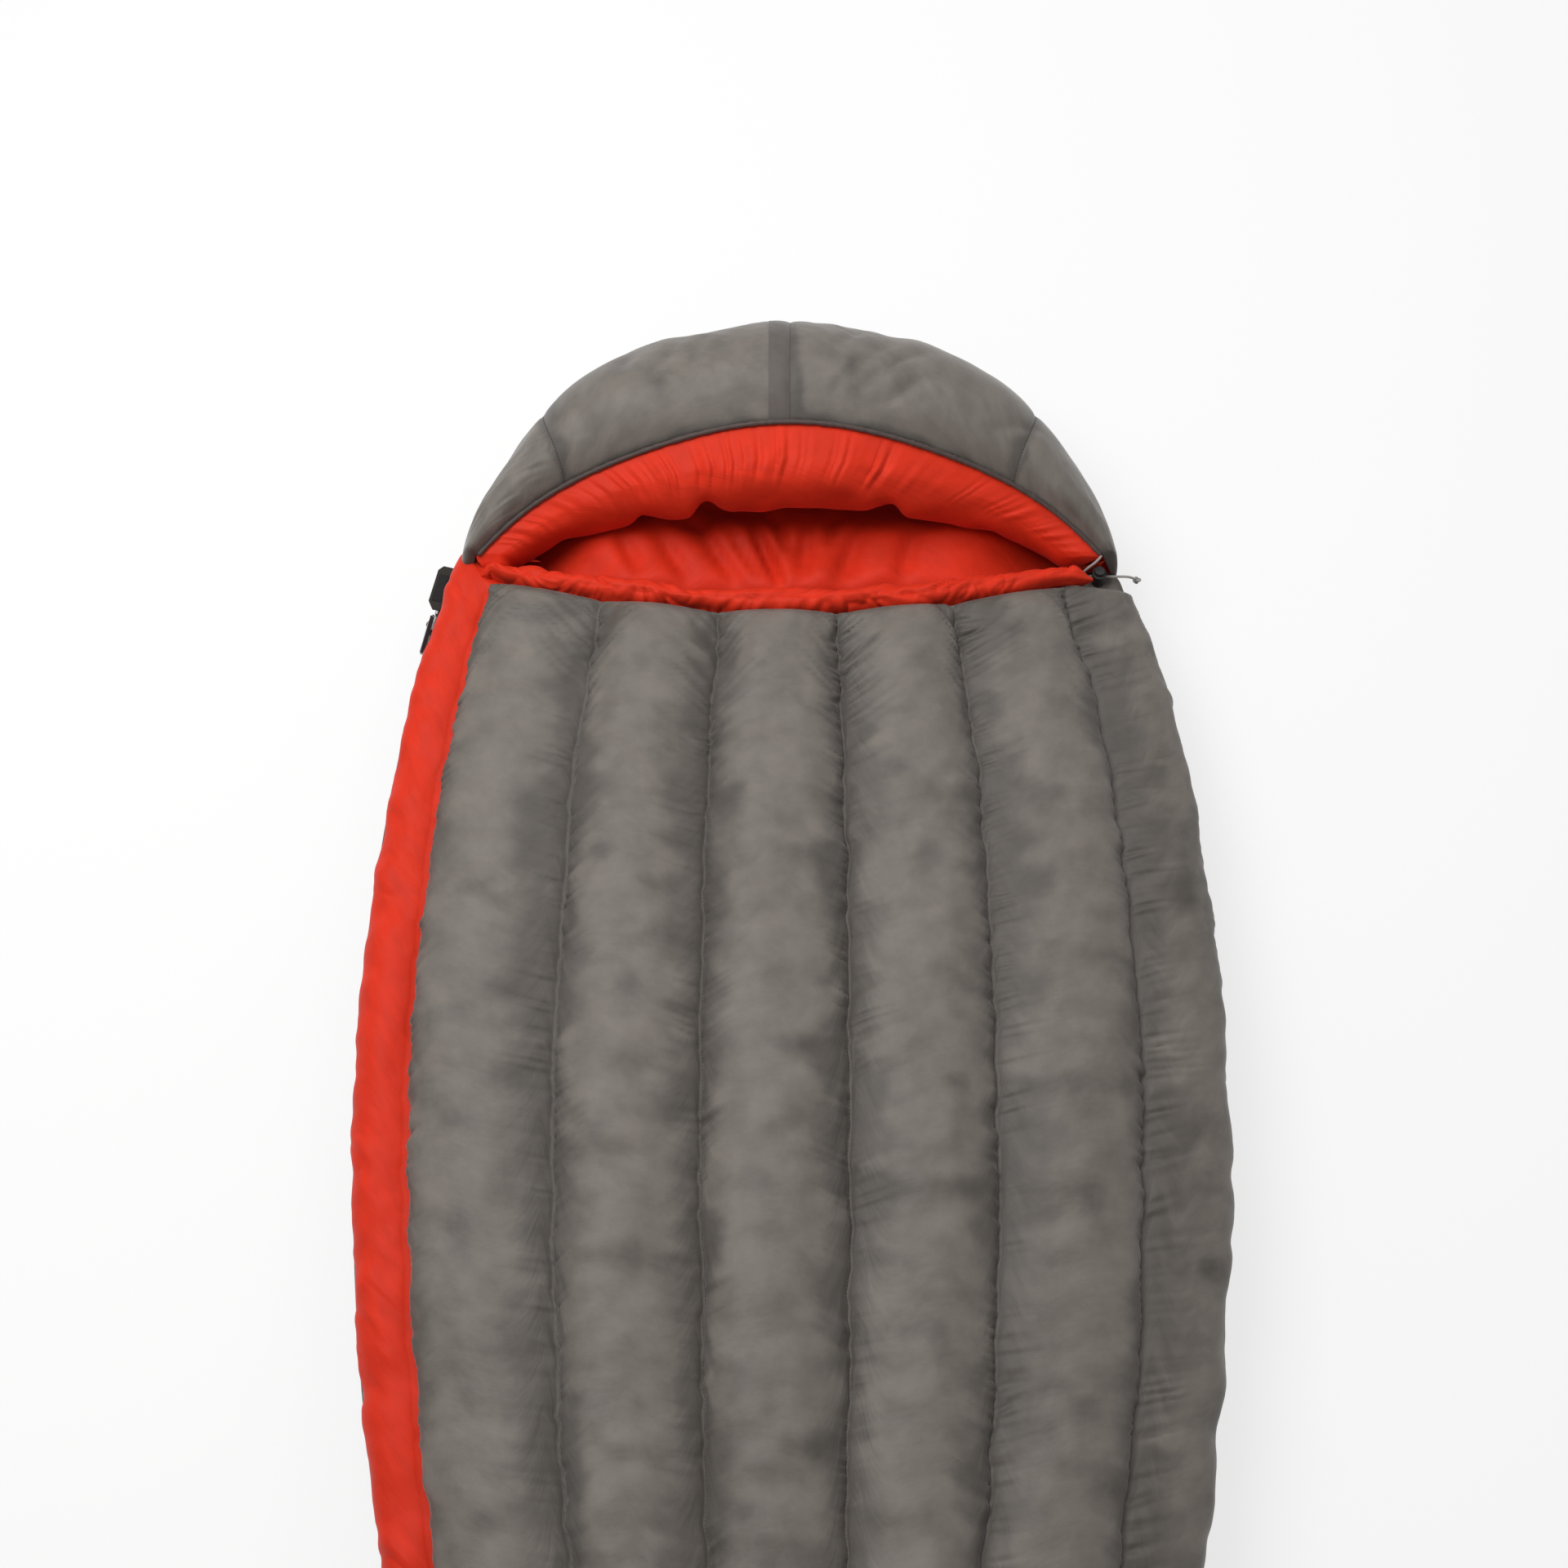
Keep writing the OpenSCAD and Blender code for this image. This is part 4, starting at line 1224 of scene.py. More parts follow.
    def build(self) -> None:
        """Builds and dresses the shell, the red side panel, the lining and the stitching."""
        g, start, fill = self._skin()
        n = self.channel_cols - 1
        patch = np.clip(0.6 + 0.7 * SoftNoise(23).lane(g.flank, g.y, 0.06), 0.15, 1.5)
        spare = self.gather * (bump(g.near, 0.022) + 0.15) * (1 + 0.6 * bump(g.below, 0.16)) * patch
        held = held_edges(start, slice(None, None, n))
        skin = Cloth(start, held, spare, self.across_spare, steps=70).settle()
        skin = skin + grid_normals(skin) * self._crinkles(g)[..., None]
        fill = np.pad(fill[:, n:], ((len(EDGE_STEPS), 0), (0, len(EDGE_STEPS))), mode="edge")
        shell = add_grid("front_quilt", self._closed(skin[:, n:]), flip=True, fill=fill)
        dress(shell, GREY_SHELL, "front_shell", "front_baffles", "front_down", soft=0.75)
        mirrored = self._closed(skin[:, n::-1])
        dress(add_grid("zip_panel", mirrored[:, ::-1], flip=True), RED_LINING, "zip_side_panel", soft=0.7)
        self._lining()
        out = grid_normals(start)
        for k in range(1, self.form.front_lines + 1):
            stitch_row(f"front_stitches_{k}", start[4:-4, k * n], out[4:-4, k * n])

    def _closed(self, skin: Points) -> Points:
        """A skin with its chest edge and its last side edge turned in to the lining.

        Args:
            skin: the settled skin.

        Returns:
            The skin with its turned-in rows and columns.
        """
        f, top = self.form, skin[0]
        turn = f.top_turn(np.clip(top[:, 0] / f.half_width(top[:, 1]), -1, 1))
        inner = f.top_in(turn, top[:, 1])
        inner[:, 2] = np.minimum(inner[:, 2], top[:, 2] - self.edge_fold)
        e = EDGE_STEPS[:, None, None]
        rows = top + (inner - top) * e + np.array([0, self.edge_bulge, 0]) * np.sin(np.pi * e)
        full = np.concatenate([rows[::-1], skin], 0)
        return np.concatenate([full, turned_in(full[:, -1], f.side_thick)], 1)

    def _lining(self) -> None:
        """Red lining inside the top quilt, puffed a little between the stitch lines."""
        f = self.form
        a, t, _ = channel_columns(f.front_turns(), np.linspace(0, 1, 11))
        top = f.edge_y(f.top_u(a))
        y = top + (f.y_end - top) * np.linspace(0, 1, 240)[:, None]
        p, out = f.top_in(a, y), f.top_out(a, y)
        place = np.arange(a.size)[None, :] * 0.01
        dip = self.lining_puff * puff(t) + self.lining_lump * SoftNoise(31)(place, y, 0.04, 0.02)
        p = p - unit(out - p) * np.maximum(SKIN_GAP, dip)[..., None]
        dress(add_grid("front_lining_cloth", p), RED_LINING, "front_lining", soft=0.3)


@dataclass
class BackQuilt:
    """Back quilt that lies on the floor: five filled channels and the red lining inside."""

    form: BagForm = FORM
    rows: int = 330
    channel_cols: int = 20
    channel_width: float = 0.15
    gather: float = 0.03
    lining_gather: float = 0.035
    lump: float = 0.0018
    lining_puff: float = 0.007
    lining_lump: float = 0.002
    reach: float = 0.006

    def build(self) -> None:
        """Builds and dresses the shell and the lining."""
        f = self.form
        a, t, channel = channel_columns(f.back_turns(), crowded(self.channel_cols, 0.4))
        y = f.y_neck + (f.y_end - f.y_neck) * np.linspace(0, 1, self.rows)[:, None]
        out, inner = f.low_out(a, y), f.low_in(a, y)
        soft = np.where(channel == 0, 0.5 + t / 2, np.where(channel == f.back_lines, t / 2, t))
        dent = f.groove * np.maximum(0, 1 - 1.3 * puff(soft))
        z = out[..., 2]
        wall = np.clip(z / 0.02, 0, 1) * np.clip((f.seam_height - z) / 0.02, 0, 1)
        lumps = self.lump * SoftNoise(41)(out[..., 0], y, 0.05, 0.04) * wall
        start = out - unit(out - inner) * (dent - lumps)[..., None]
        start[..., 0] *= f.neck_draw(start[..., 0], f.y_neck - y, 0.10)
        held = held_edges(start, slice(None, None, self.channel_cols - 1))
        near = np.minimum(t, 1 - t) * self.channel_width
        spare = self.gather * (bump(near, 0.025) + 0.2)
        skin = Cloth(start, held, spare, 0.008, side=-1.0, reach=self.reach, seed=5).settle()
        skin[..., 2] = np.maximum(skin[..., 2], FLOOR_GAP)
        left, right = (turned_in(skin[:, k], f.side_thick) for k in ENDS)
        shell = add_grid("back_quilt", np.concatenate([left[:, ::-1], skin, right], 1))
        dress(shell, GREY_SHELL, "back_shell", "back_baffles", "back_down", soft=0.65)
        rise = self.lining_puff + self.lining_lump * SoftNoise(43)(inner[..., 0], y, 0.05, 0.035)
        start = inner - unit(out - inner) * np.maximum(SKIN_GAP, rise * puff(t))[..., None]
        spare = self.lining_gather * (bump(near, 0.03) + 0.3)
        skin = Cloth(start, held, spare, 0.01, reach=self.reach, steps=70, seed=6).settle()
        dress(add_grid("back_lining_cloth", skin, flip=True), RED_LINING, "back_lining", soft=0.4)


@dataclass
class FootCap:
    """Padded oval panel that closes the foot end."""

    form: BagForm = FORM
    around: int = 200
    rings: int = 46
    hole: float = 0.004
    lobes: int = 8
    sewn_depth: float = 0.006
    rim_back: float = 0.0062
    middle_share: float = 0.46
    lining_rise: float = 0.006
    lining_lump: float = 0.001
    lump: float = 0.0030
    gather: float = 0.0045

    def _rim(self) -> Points:
        """The oval end seam, as a loop of points.

        Returns:
            The points, from the zip side over the top and back below.
        """
        f = self.form
        a = np.linspace(0, np.pi, self.around // 2 + 1)
        y = np.array(f.y_end)
        return np.concatenate([f.top_out(a, y), f.low_out(a[-2:0:-1], y)])

    def build(self) -> None:
        """Builds and dresses the shell and the lining of the cap."""
        f, rim = self.form, self._rim()
        middle = np.array([0, f.y_end, f.foot_height * self.middle_share])
        s = np.cos(np.linspace(0, np.pi / 2, self.rings))[:, None] * (1 - self.hole) + self.hole
        flat = middle + s[..., None] * (rim - middle)[None]
        x, z, run = flat[..., 0], flat[..., 2], run_along(rim)
        noise = SoftNoise(51)
        depth = self.sewn_depth + (f.cap_depth - self.sewn_depth) * np.sqrt(np.clip(1 - s * s, 0, 1))
        turn = np.arctan2(rim[:, 2] - middle[2], rim[:, 0])
        lobes = 1 - 0.05 * (0.5 + 0.5 * np.cos(turn * self.lobes)) * bump(s - 0.75, 0.3)
        lumps = self.lump * noise(x, z, 0.04, 0.04) * (1 - s**4)
        gathers = folded(noise.line(run + 0.02 * s, 0.0095)) * bump(1 - s, 0.16) * ease((1 - s) / 0.03)
        start = flat.copy()
        start[..., 1] -= depth * lobes + lumps - self.rim_back * s**12 + self.gather * gathers
        start = looped(start)
        spare = 0.03 * bump(1 - s, 0.3)
        skin = Cloth(start, held_edges(start, ENDS), 0.004, spare, reach=0.005, steps=70, seed=8).settle()
        skin[..., 2] = np.maximum(skin[..., 2], FLOOR_GAP)
        fill = ease((1 - s) / 0.14 + 0.3 * noise(run + 5, s, 0.03, 0.2))
        fill = np.clip(looped(fill - 0.8 * noise.clumps(x + 7, z, 0.034, 0.03, 0.3)), 0, 1)
        cap = add_grid("foot_cap", skin, flip=True, fill=fill, flat="xz")
        dress(cap, GREY_SHELL, "foot_shell", "foot_down", soft=0.7)
        lumps = self.lining_lump * noise(x + 3, z, 0.03, 0.03) * (1 - s**4)
        flat[..., 1] += self.lining_rise * (1 - s**2) + lumps
        lining = add_grid("foot_lining_cloth", flat, wrap=True, flat="xz")
        dress(lining, RED_LINING, "foot_lining", soft=0.3)


# Hood


SEAM_CROWDING = 0.35


@dataclass(frozen=True)
class HoodForm:
    """Sizes of the hood: an arch in plan with a section that shrinks towards the neck."""

    bag: BagForm = FORM
    arch_drop: float = 0.040
    inset: float = 0.010
    neck_gap: float = 0.0036
    pinch: float = 0.1
    way_swing: float = math.radians(12)
    crown_height: float = 0.206
    crown_half: float = 0.087
    crown_thick: float = 0.042
    head_pad: float = 0.036
    pad_skin: float = 0.004
    lining_drop: float = 0.003
    roll_radius: float = 0.037
    panel_rise: float = 0.007
    low_turn: float = math.radians(-75)
    rim_turn: float = math.radians(125)
    seam_side: float = math.radians(43)
    seam_lean: float = math.radians(13.5)

    @property
    def arch_y(self) -> float:
        """Centre line of the arch."""
        return self.bag.y_neck - self.arch_drop

    @property
    def arch_long(self) -> float:
        """Length of the arch from its centre line to the crown."""
        return self.bag.y_head - self.arch_y

    @property
    def start(self) -> float:
        """Angle round the arch at the neck corners."""
        return math.asin((self.arch_drop + self.neck_gap) / self.arch_long)

    @property
    def half(self) -> float:
        """Half width of the arch, from the shoulders at the neck."""
        neck = float(self.bag.half_width(np.array(self.bag.y_neck))) - self.inset
        return neck / math.cos(self.start) / (1 - self.pinch * math.sin(self.start) ** 2)

    def along(self, f: Array) -> Array:
        """Share of the way round the arch, from 0 at the zip side to 1."""
        return (f - self.start) / (np.pi - 2 * self.start)

    def at(self, f: Array, r: Array, z: Array) -> Points:
        """Points at an angle round the arch, out from it by r and up by z.

        Args:
            f: angles round the arch.
            r: distances out from the arch.
            z: heights.

        Returns:
            The points.
        """
        t = self.along(f)
        g = np.pi * t + self.way_swing * np.sin(2 * np.pi * t)
        way = stack(-np.cos(g), np.sin(g), np.zeros_like(g))
        across = -self.half * np.cos(f) * (1 - self.pinch * np.sin(f) ** 2)
        base = stack(across, self.arch_y + self.arch_long * np.sin(f), np.zeros_like(f))
        r, z = np.broadcast_arrays(r, z)
        p = base + way * r[..., None]
        p[..., 2] = z
        return p

    def share(self, f: Array) -> Array:
        """0 at the neck corners, 1 at the crown."""
        near = np.where(f <= np.pi / 2, f - self.start, np.pi - self.start - f)
        return np.clip(np.sin(np.pi / 2 * near / (np.pi / 2 - self.start)), 0, 1)

    def deep(self, f: Array) -> Array:
        """Half depth of the crown's section."""
        return self.crown_half * (0.12 + 0.88 * self.share(f) ** 0.9)

    def tall(self, f: Array) -> Array:
        """Half height of the crown's section."""
        return self.crown_height / 2 * (0.6 + 0.4 * self.share(f))

    def plump(self, f: Array) -> Array:
        """How full the section is, 1 at the crown."""
        return 0.5 + 0.5 * self.share(f) ** 0.6

    def section_out(self, f: Array, a: Array, rise: Array = 0.0) -> tuple[Array, Array]:
        """Outer section of the crown at an angle up it, lifted off by rise: how far out and how high."""
        deep, tall = self.deep(f), self.tall(f)
        return deep * (np.cos(a) - 1) + rise * np.cos(a), tall * (1 + np.sin(a)) + rise * np.sin(a)

    def section_in(self, f: Array, a: Array, rise: Array = 0.0) -> tuple[Array, Array]:
        """Inner section of the crown at an angle up it, lifted towards the head by rise.

        Args:
            f: angles round the arch.
            a: angles round the section.
            rise: how far it is lifted.

        Returns:
            How far out and how high.
        """
        deep, tall = self.deep(f), self.tall(f)
        wall = np.minimum(self.crown_thick * self.plump(f), 0.6 * deep)
        high = tall + (tall - wall - self.lining_drop - rise) * np.sin(a)
        return -deep + (deep - wall - rise) * np.cos(a), high

    def rim_out(self, f: Array) -> Array:
        """Section point of the rim on the shell."""
        return np.stack(self.section_out(f, self.rim_turn), -1)

    def roll_mid(self, f: Array) -> Array:
        """Section point in the middle of the face roll."""
        return self.rim_out(f) + (self.plump(f) * self.roll_radius)[..., None] * np.array([-0.68, -1.0])

    def seam(self, k: int, a: Array) -> Array:
        """Angle round the arch of seam k, from 0 to 4, at an angle up the section.

        Args:
            k: number of the seam.
            a: angles round the section.

        Returns:
            One angle round the arch for each angle of the section.
        """
        lean = self.seam_lean * np.clip(a / self.rim_turn, 0, 1)
        if k in (0, 4):
            return np.full_like(a, self.start if k == 0 else np.pi - self.start)
        return np.pi / 2 + (k - 2) * (np.pi / 2 - self.seam_side + lean)

    def turns(self, rows: int, cols: int) -> tuple[Array, Array, Array, Array]:
        """A grid over the crown whose seams are columns.

        Args:
            rows: rows up the section.
            cols: columns in each of the four panels.

        Returns:
            Angles round the arch, share of its panel's width for each column, share of the height and
            angle up the section for each row.
        """
        v = np.linspace(0, 1, rows)[:, None]
        a = self.low_turn + (self.rim_turn - self.low_turn) * v
        t = crowded(cols + 1, SEAM_CROWDING)
        f, share = [], []
        for k in range(4):
            keep = t if k == 3 else t[:-1]
            low, high = self.seam(k, a), self.seam(k + 1, a)
            f.append(low + (high - low) * keep)
            share.append(keep)
        return np.concatenate(f, 1), np.concatenate(share), v, a


HOOD = HoodForm()
NECK_ENDS = ((0.92, 0.004), (0.70, 0.008), (0.35, 0.010), (0.02, 0.0105))
LOCK_PATH_LOW = 0.052


def drawn_end(last: Points, lock_side: bool) -> list[Points]:
    """Rows that draw a neck end together.

    Args:
        last: the last row of points of the piece.
        lock_side: keeps the end flat at the height where the cord lock slides.

    Returns:
        The rows that follow the last one, down to its middle.
    """
    middle = last.mean(0)
    rows = []
    for share, drop in NECK_ENDS:
        row = middle + (last - middle) * share
        row[:, 1] -= drop * (1 - 0.9 * ease((row[:, 2] - LOCK_PATH_LOW) / 0.02) if lock_side else 1.0)
        rows.append(row)
    return rows


@dataclass(frozen=True)
class Crease:
    """One long fold in cloth, between two places on a grid of u and v from 0 to 1."""

    u0: float
    v0: float
    u1: float
    v1: float
    depth: float
    width: float

    def drop(self, u: Array, v: Array, aspect: float) -> Array:
        """Depth of the fold at each place, with v scaled by the grid's aspect.

        Args:
            u: first coordinate.
            v: second coordinate.
            aspect: the grid's aspect.

        Returns:
            One depth for each place.
        """
        dx, dy = self.u1 - self.u0, (self.v1 - self.v0) * aspect
        px, py = u - self.u0, (v - self.v0) * aspect
        along = np.clip((px * dx + py * dy) / (dx * dx + dy * dy), 0, 1)
        off = np.hypot(px - along * dx, py - along * dy)
        return self.depth * bump(off, self.width) * np.sin(np.pi * np.clip(along, 0.02, 0.98))


@dataclass
class HoodCrown:
    """Outer hood of four filled panels, its lining and the pad under the head."""

    form: HoodForm = HOOD
    rows: int = 110
    panel_cols: int = 62
    girth: float = 0.9
    depth: float = 0.3
    haunch: float = 0.011
    tape_width: float = 0.019
    tape_lift: float = 0.0006
    pillow_run: float = 0.040
    pillow_height: float = 0.058
    pillow_lump: float = 0.005
    pillow_small_lump: float = 0.003
    pillow_half: float = 0.3
    pad_inset: float = 0.0025
    pad_cols: int = 36
    lump: float = 0.0022
    small_lump: float = 0.0012
    slant_fold: float = 0.0024
    stitch_pitch: float = 0.003
    lining_puff: float = 0.004
    lining_lump: float = 0.002

    PANELS = ("hood_side_left", "hood_crown_left", "hood_crown_right", "hood_side_right")
    CREASES = (
        Crease(0.30, 0.80, 0.37, 0.60, 0.0026, 0.010), Crease(0.34, 0.84, 0.40, 0.62, 0.0022, 0.008),
        Crease(0.27, 0.74, 0.31, 0.56, 0.0024, 0.010), Crease(0.56, 0.92, 0.64, 0.64, 0.0028, 0.009),
        Crease(0.60, 0.90, 0.69, 0.62, 0.0030, 0.009), Crease(0.64, 0.94, 0.72, 0.70, 0.0028, 0.009),
        Crease(0.55, 0.78, 0.60, 0.58, 0.0020, 0.008), Crease(0.80, 0.86, 0.84, 0.62, 0.0024, 0.010),
        Crease(0.14, 0.80, 0.18, 0.56, 0.0026, 0.010), Crease(0.19, 0.86, 0.23, 0.62, 0.0022, 0.009),
    )
    PILLOW_FOLDS = (
        Crease(0.435, 0.110, 0.490, -0.035, 0.018, 0.011), Crease(0.340, 0.110, 0.430, -0.035, 0.011, 0.012),
        Crease(0.280, 0.095, 0.350, -0.030, 0.009, 0.012), Crease(0.395, 0.095, 0.460, -0.025, 0.007, 0.008),
        Crease(0.530, 0.115, 0.520, -0.030, 0.008, 0.014), Crease(0.620, 0.110, 0.575, -0.030, 0.009, 0.014),
        Crease(0.700, 0.095, 0.670, -0.030, 0.008, 0.014), Crease(0.225, 0.085, 0.275, -0.020, 0.007, 0.012),
        Crease(0.470, 0.120, 0.500, 0.030, 0.010, 0.012), Crease(0.575, 0.120, 0.560, 0.040, 0.008, 0.012),
    )

    def build(self) -> None:
        """Builds and dresses the panels, the lining and the pad."""
        self._panels()
        self._lining()
        self._pad()
        self._pillow()

    def _panels(self) -> None:
        """Four grey panels, settled together and then parted at their seams."""
        h, n = self.form, self.panel_cols
        f, t, v, a = h.turns(self.rows, n)
        u = h.along(f)
        x, y = u * self.girth, v * self.depth
        noise = SoftNoise(61)
        fade = np.clip((h.rim_turn - a) / 0.7, 0, 1) * np.clip((a - h.low_turn) / 0.7, 0, 1)
        lumps = self.lump * noise(x, y, 0.06, 0.05) + self.small_lump * noise(x + 4, y, 0.028, 0.024)
        fine = np.clip(noise(x + 23, y, 0.09, 0.06) + 0.35, 0, 1.2)
        slanted = noise(0.8 * x + 0.6 * y + 3, 0.6 * x - 0.8 * y, 0.045, 0.009)
        lumps = lumps + self.slant_fold * fine * folded(slanted, 0.8, 0.45)
        folds = sum(c.drop(u, v, 0.36) for c in self.CREASES)
        full = h.panel_rise * h.plump(f) * (1 + 0.15 * noise(x + 8, y, 0.12, 0.1))
        rise = (full + lumps) * puff(t) * fade - folds * np.clip(fade * 2, 0, 1)
        hips = bump(u - 0.22, 0.08) + bump(u - 0.78, 0.08)
        hips = hips - 0.5 * bump(u - 0.41, 0.06) - 0.5 * bump(u - 0.59, 0.06)
        rise = rise + self.haunch * hips * np.clip(np.sin(np.pi * v), 0, 1)
        start = h.at(f, *h.section_out(f, a, rise))
        near = np.minimum(t, 1 - t) * 0.2
        seams, rim = 0.03 * bump(near, 0.02) + 0.006, 0.05 * bump(1 - v, 0.12) + 0.008
        skin = Cloth(start, held_edges(start, slice(None, None, n)), seams, rim, seed=9, reach=0.006).settle()
        ragged = 0.35 * noise(x + 13, y, 0.03, 0.025)
        # Down value low beside the seams and the rim where down is missing. It is also cut along the creases
        # as painted crease shadow.
        fill = ease(near / 0.016 + ragged) * ease((1 - v) / 0.05 + ragged) * np.clip(1 - 110 * folds, 0.15, 1)
        fill = np.clip(fill - 0.8 * noise.clumps(x + 17, y, 0.036, 0.03, 0.3), 0, 1)
        for k, node in enumerate(self.PANELS):
            cut = slice(k * n, (k + 1) * n + 1)
            piece, shade = self._ended(skin[:, cut], fill[:, cut], k)
            obj = add_grid(f"{node}_cloth", piece, flip=True, fill=shade)
            dress(obj, GREY_SHELL, node, *(["hood_crown_down"] if k == 1 else []), soft=0.7)
        out = grid_normals(start)
        for k in (1, 2, 3):
            stitch_row(f"hood_stitches_{k}", start[6:-2, k * n], out[6:-2, k * n], self.stitch_pitch)
        self._tape(skin[22:-1, 2 * n - 26 : 2 * n + 1])

    def _ended(self, piece: Points, fill: Array, k: int) -> tuple[Points, Array]:
        """A panel with its neck end drawn together, where it has one.

        Args:
            piece: the panel's points.
            fill: how much down is behind each.
            k: number of the panel.

        Returns:
            The points and the down of the whole panel.
        """
        if k in (1, 2):
            return piece, fill
        way = -1 if k == 0 else 1
        piece, fill = piece[:, ::way], fill[:, ::way]
        piece = np.concatenate([piece, np.stack(drawn_end(piece[:, -1], k == 3), 1)], 1)
        fill = np.pad(fill, ((0, 0), (0, len(NECK_ENDS))), mode="edge")
        return piece[:, ::way], fill[:, ::way]

    def _tape(self, skin: Points) -> None:
        """Flat seam tape beside the centre seam, which is the last column of the skin.

        Args:
            skin: the skin beside the seam.
        """
        x = skin[:, -1:, 0] - self.tape_width * np.linspace(0, 1, 14)
        strip = np.zeros((*x.shape, 3))
        for i, row in enumerate(skin):
            strip[i] = np.stack([np.interp(x[i], row[:, 0], row[:, k]) for k in range(3)], -1)
        out = grid_normals(strip)
        strip = strip + out * np.where(out[..., 2].mean() > 0, self.tape_lift, -self.tape_lift)
        dress(add_grid("hood_seam_tape", strip), GREY_TAPE)

    def _lining(self) -> None:
        """Red lining inside the crown."""
        h = self.form
        f, t, v, a = h.turns(60, 30)
        rise = self.lining_puff * puff(t) + self.lining_lump * SoftNoise(67)(f * 0.28, v * 0.25, 0.05, 0.04)
        p = h.at(f, *h.section_in(f, a, rise * np.sin(np.pi * v)))
        dress(add_grid("hood_lining_cloth", p), RED_LINING, "hood_lining", soft=0.4)

    def _pad_rim(self, height: float) -> Points:
        """Edge of the pad at a height.

        Args:
            height: the height.

        Returns:
            One point for each column of the pad.
        """
        h = self.form
        f = self._pad_turns()
        low, _ = h.section_out(f, h.low_turn)
        high, top = h.section_in(f, h.low_turn)
        z = np.full_like(f, height)
        return h.at(f, low + (high - low) * np.clip(z / top, 0, 1) - self.pad_inset, z)

    def _pad_turns(self) -> Array:
        """Angles round the arch for the pad's columns, on the seams as they are low on the crown.

        Returns:
            One angle for each column.
        """
        h, t = self.form, crowded(self.pad_cols + 1, SEAM_CROWDING)
        seams = [h.seam(k, np.zeros(1)) for k in range(5)]
        parts = [low + (high - low) * t[:-1] for low, high in zip(seams, seams[1:])]
        return np.concatenate([*parts, seams[-1]])

    def _pad(self) -> None:
        """Grey underside of the padded floor of the hood, with its edge and its neck wall."""
        h = self.form
        top = h.head_pad - h.pad_skin
        side = np.stack([self._pad_rim(z) for z in (top, 0.024, 0.012, 0.003, 0.0006)])
        last = side[-1]
        neck = stack(last[:, 0], h.bag.y_neck + h.bag.fit_gap, last[:, 2])
        base = last + (neck - last) * np.linspace(0, 1, 64)[1:, None, None]
        wall = [stack(neck[:, 0], neck[:, 1], z) for z in (0.006, 0.014, 0.022, top)]
        pad = add_grid("hood_pad", np.concatenate([side, base, np.stack(wall)]), flat="xy")
        dress(pad, GREY_SHELL, "hood_pad_shell", "hood_pad_down", soft=0.6)

    def _pillow(self) -> None:
        """Red pillow on top of the padded floor."""
        h = self.form
        neck = h.bag.y_neck + h.bag.fit_gap
        rim = self._pad_rim(h.head_pad - h.pad_skin)
        end = stack(rim[:, 0], neck - self.pillow_run, h.head_pad - h.pad_skin)
        s = np.linspace(0, 1, 64)[:, None]
        top = rim + (end - rim) * s[..., None]
        x, y = top[..., 0], top[..., 1]
        noise = SoftNoise(71)
        edge = rounded(np.minimum(s / 0.045, (1 - s) / 0.040) * np.abs(rim - end)[:, 1])
        edge = edge * ease((0.275 - np.abs(x)) / 0.13) ** 0.7
        crown = self.pillow_height - 0.022 * ease((y - 0.76) / 0.05)
        crown = crown + self.pillow_lump * noise(x, y, 0.06, 0.05)
        crown = crown + self.pillow_small_lump * noise(x + 3, y, 0.03, 0.025)
        u, v = (x / self.pillow_half + 1) / 2, (y - neck) / self.pillow_half / 2
        drop = sum(c.drop(u, v, 1.0) for c in self.PILLOW_FOLDS)
        top[..., 2] += np.maximum(0, edge * crown - drop * edge)
        spare = 0.03 * bump(s, 0.3) + 0.012
        skin = Cloth(top, held_edges(top, ENDS), 0.012, spare, seed=12, steps=80, reach=0.005).settle()
        dress(add_grid("hood_pad_pillow", skin, flip=True), RED_LINING, "hood_pad_lining", soft=0.6)


@dataclass(frozen=True)
class Dimple:
    """A tack that draws the face roll in: its place across the bag, its depth as a share and its width."""

    x: float
    depth: float
    width: float


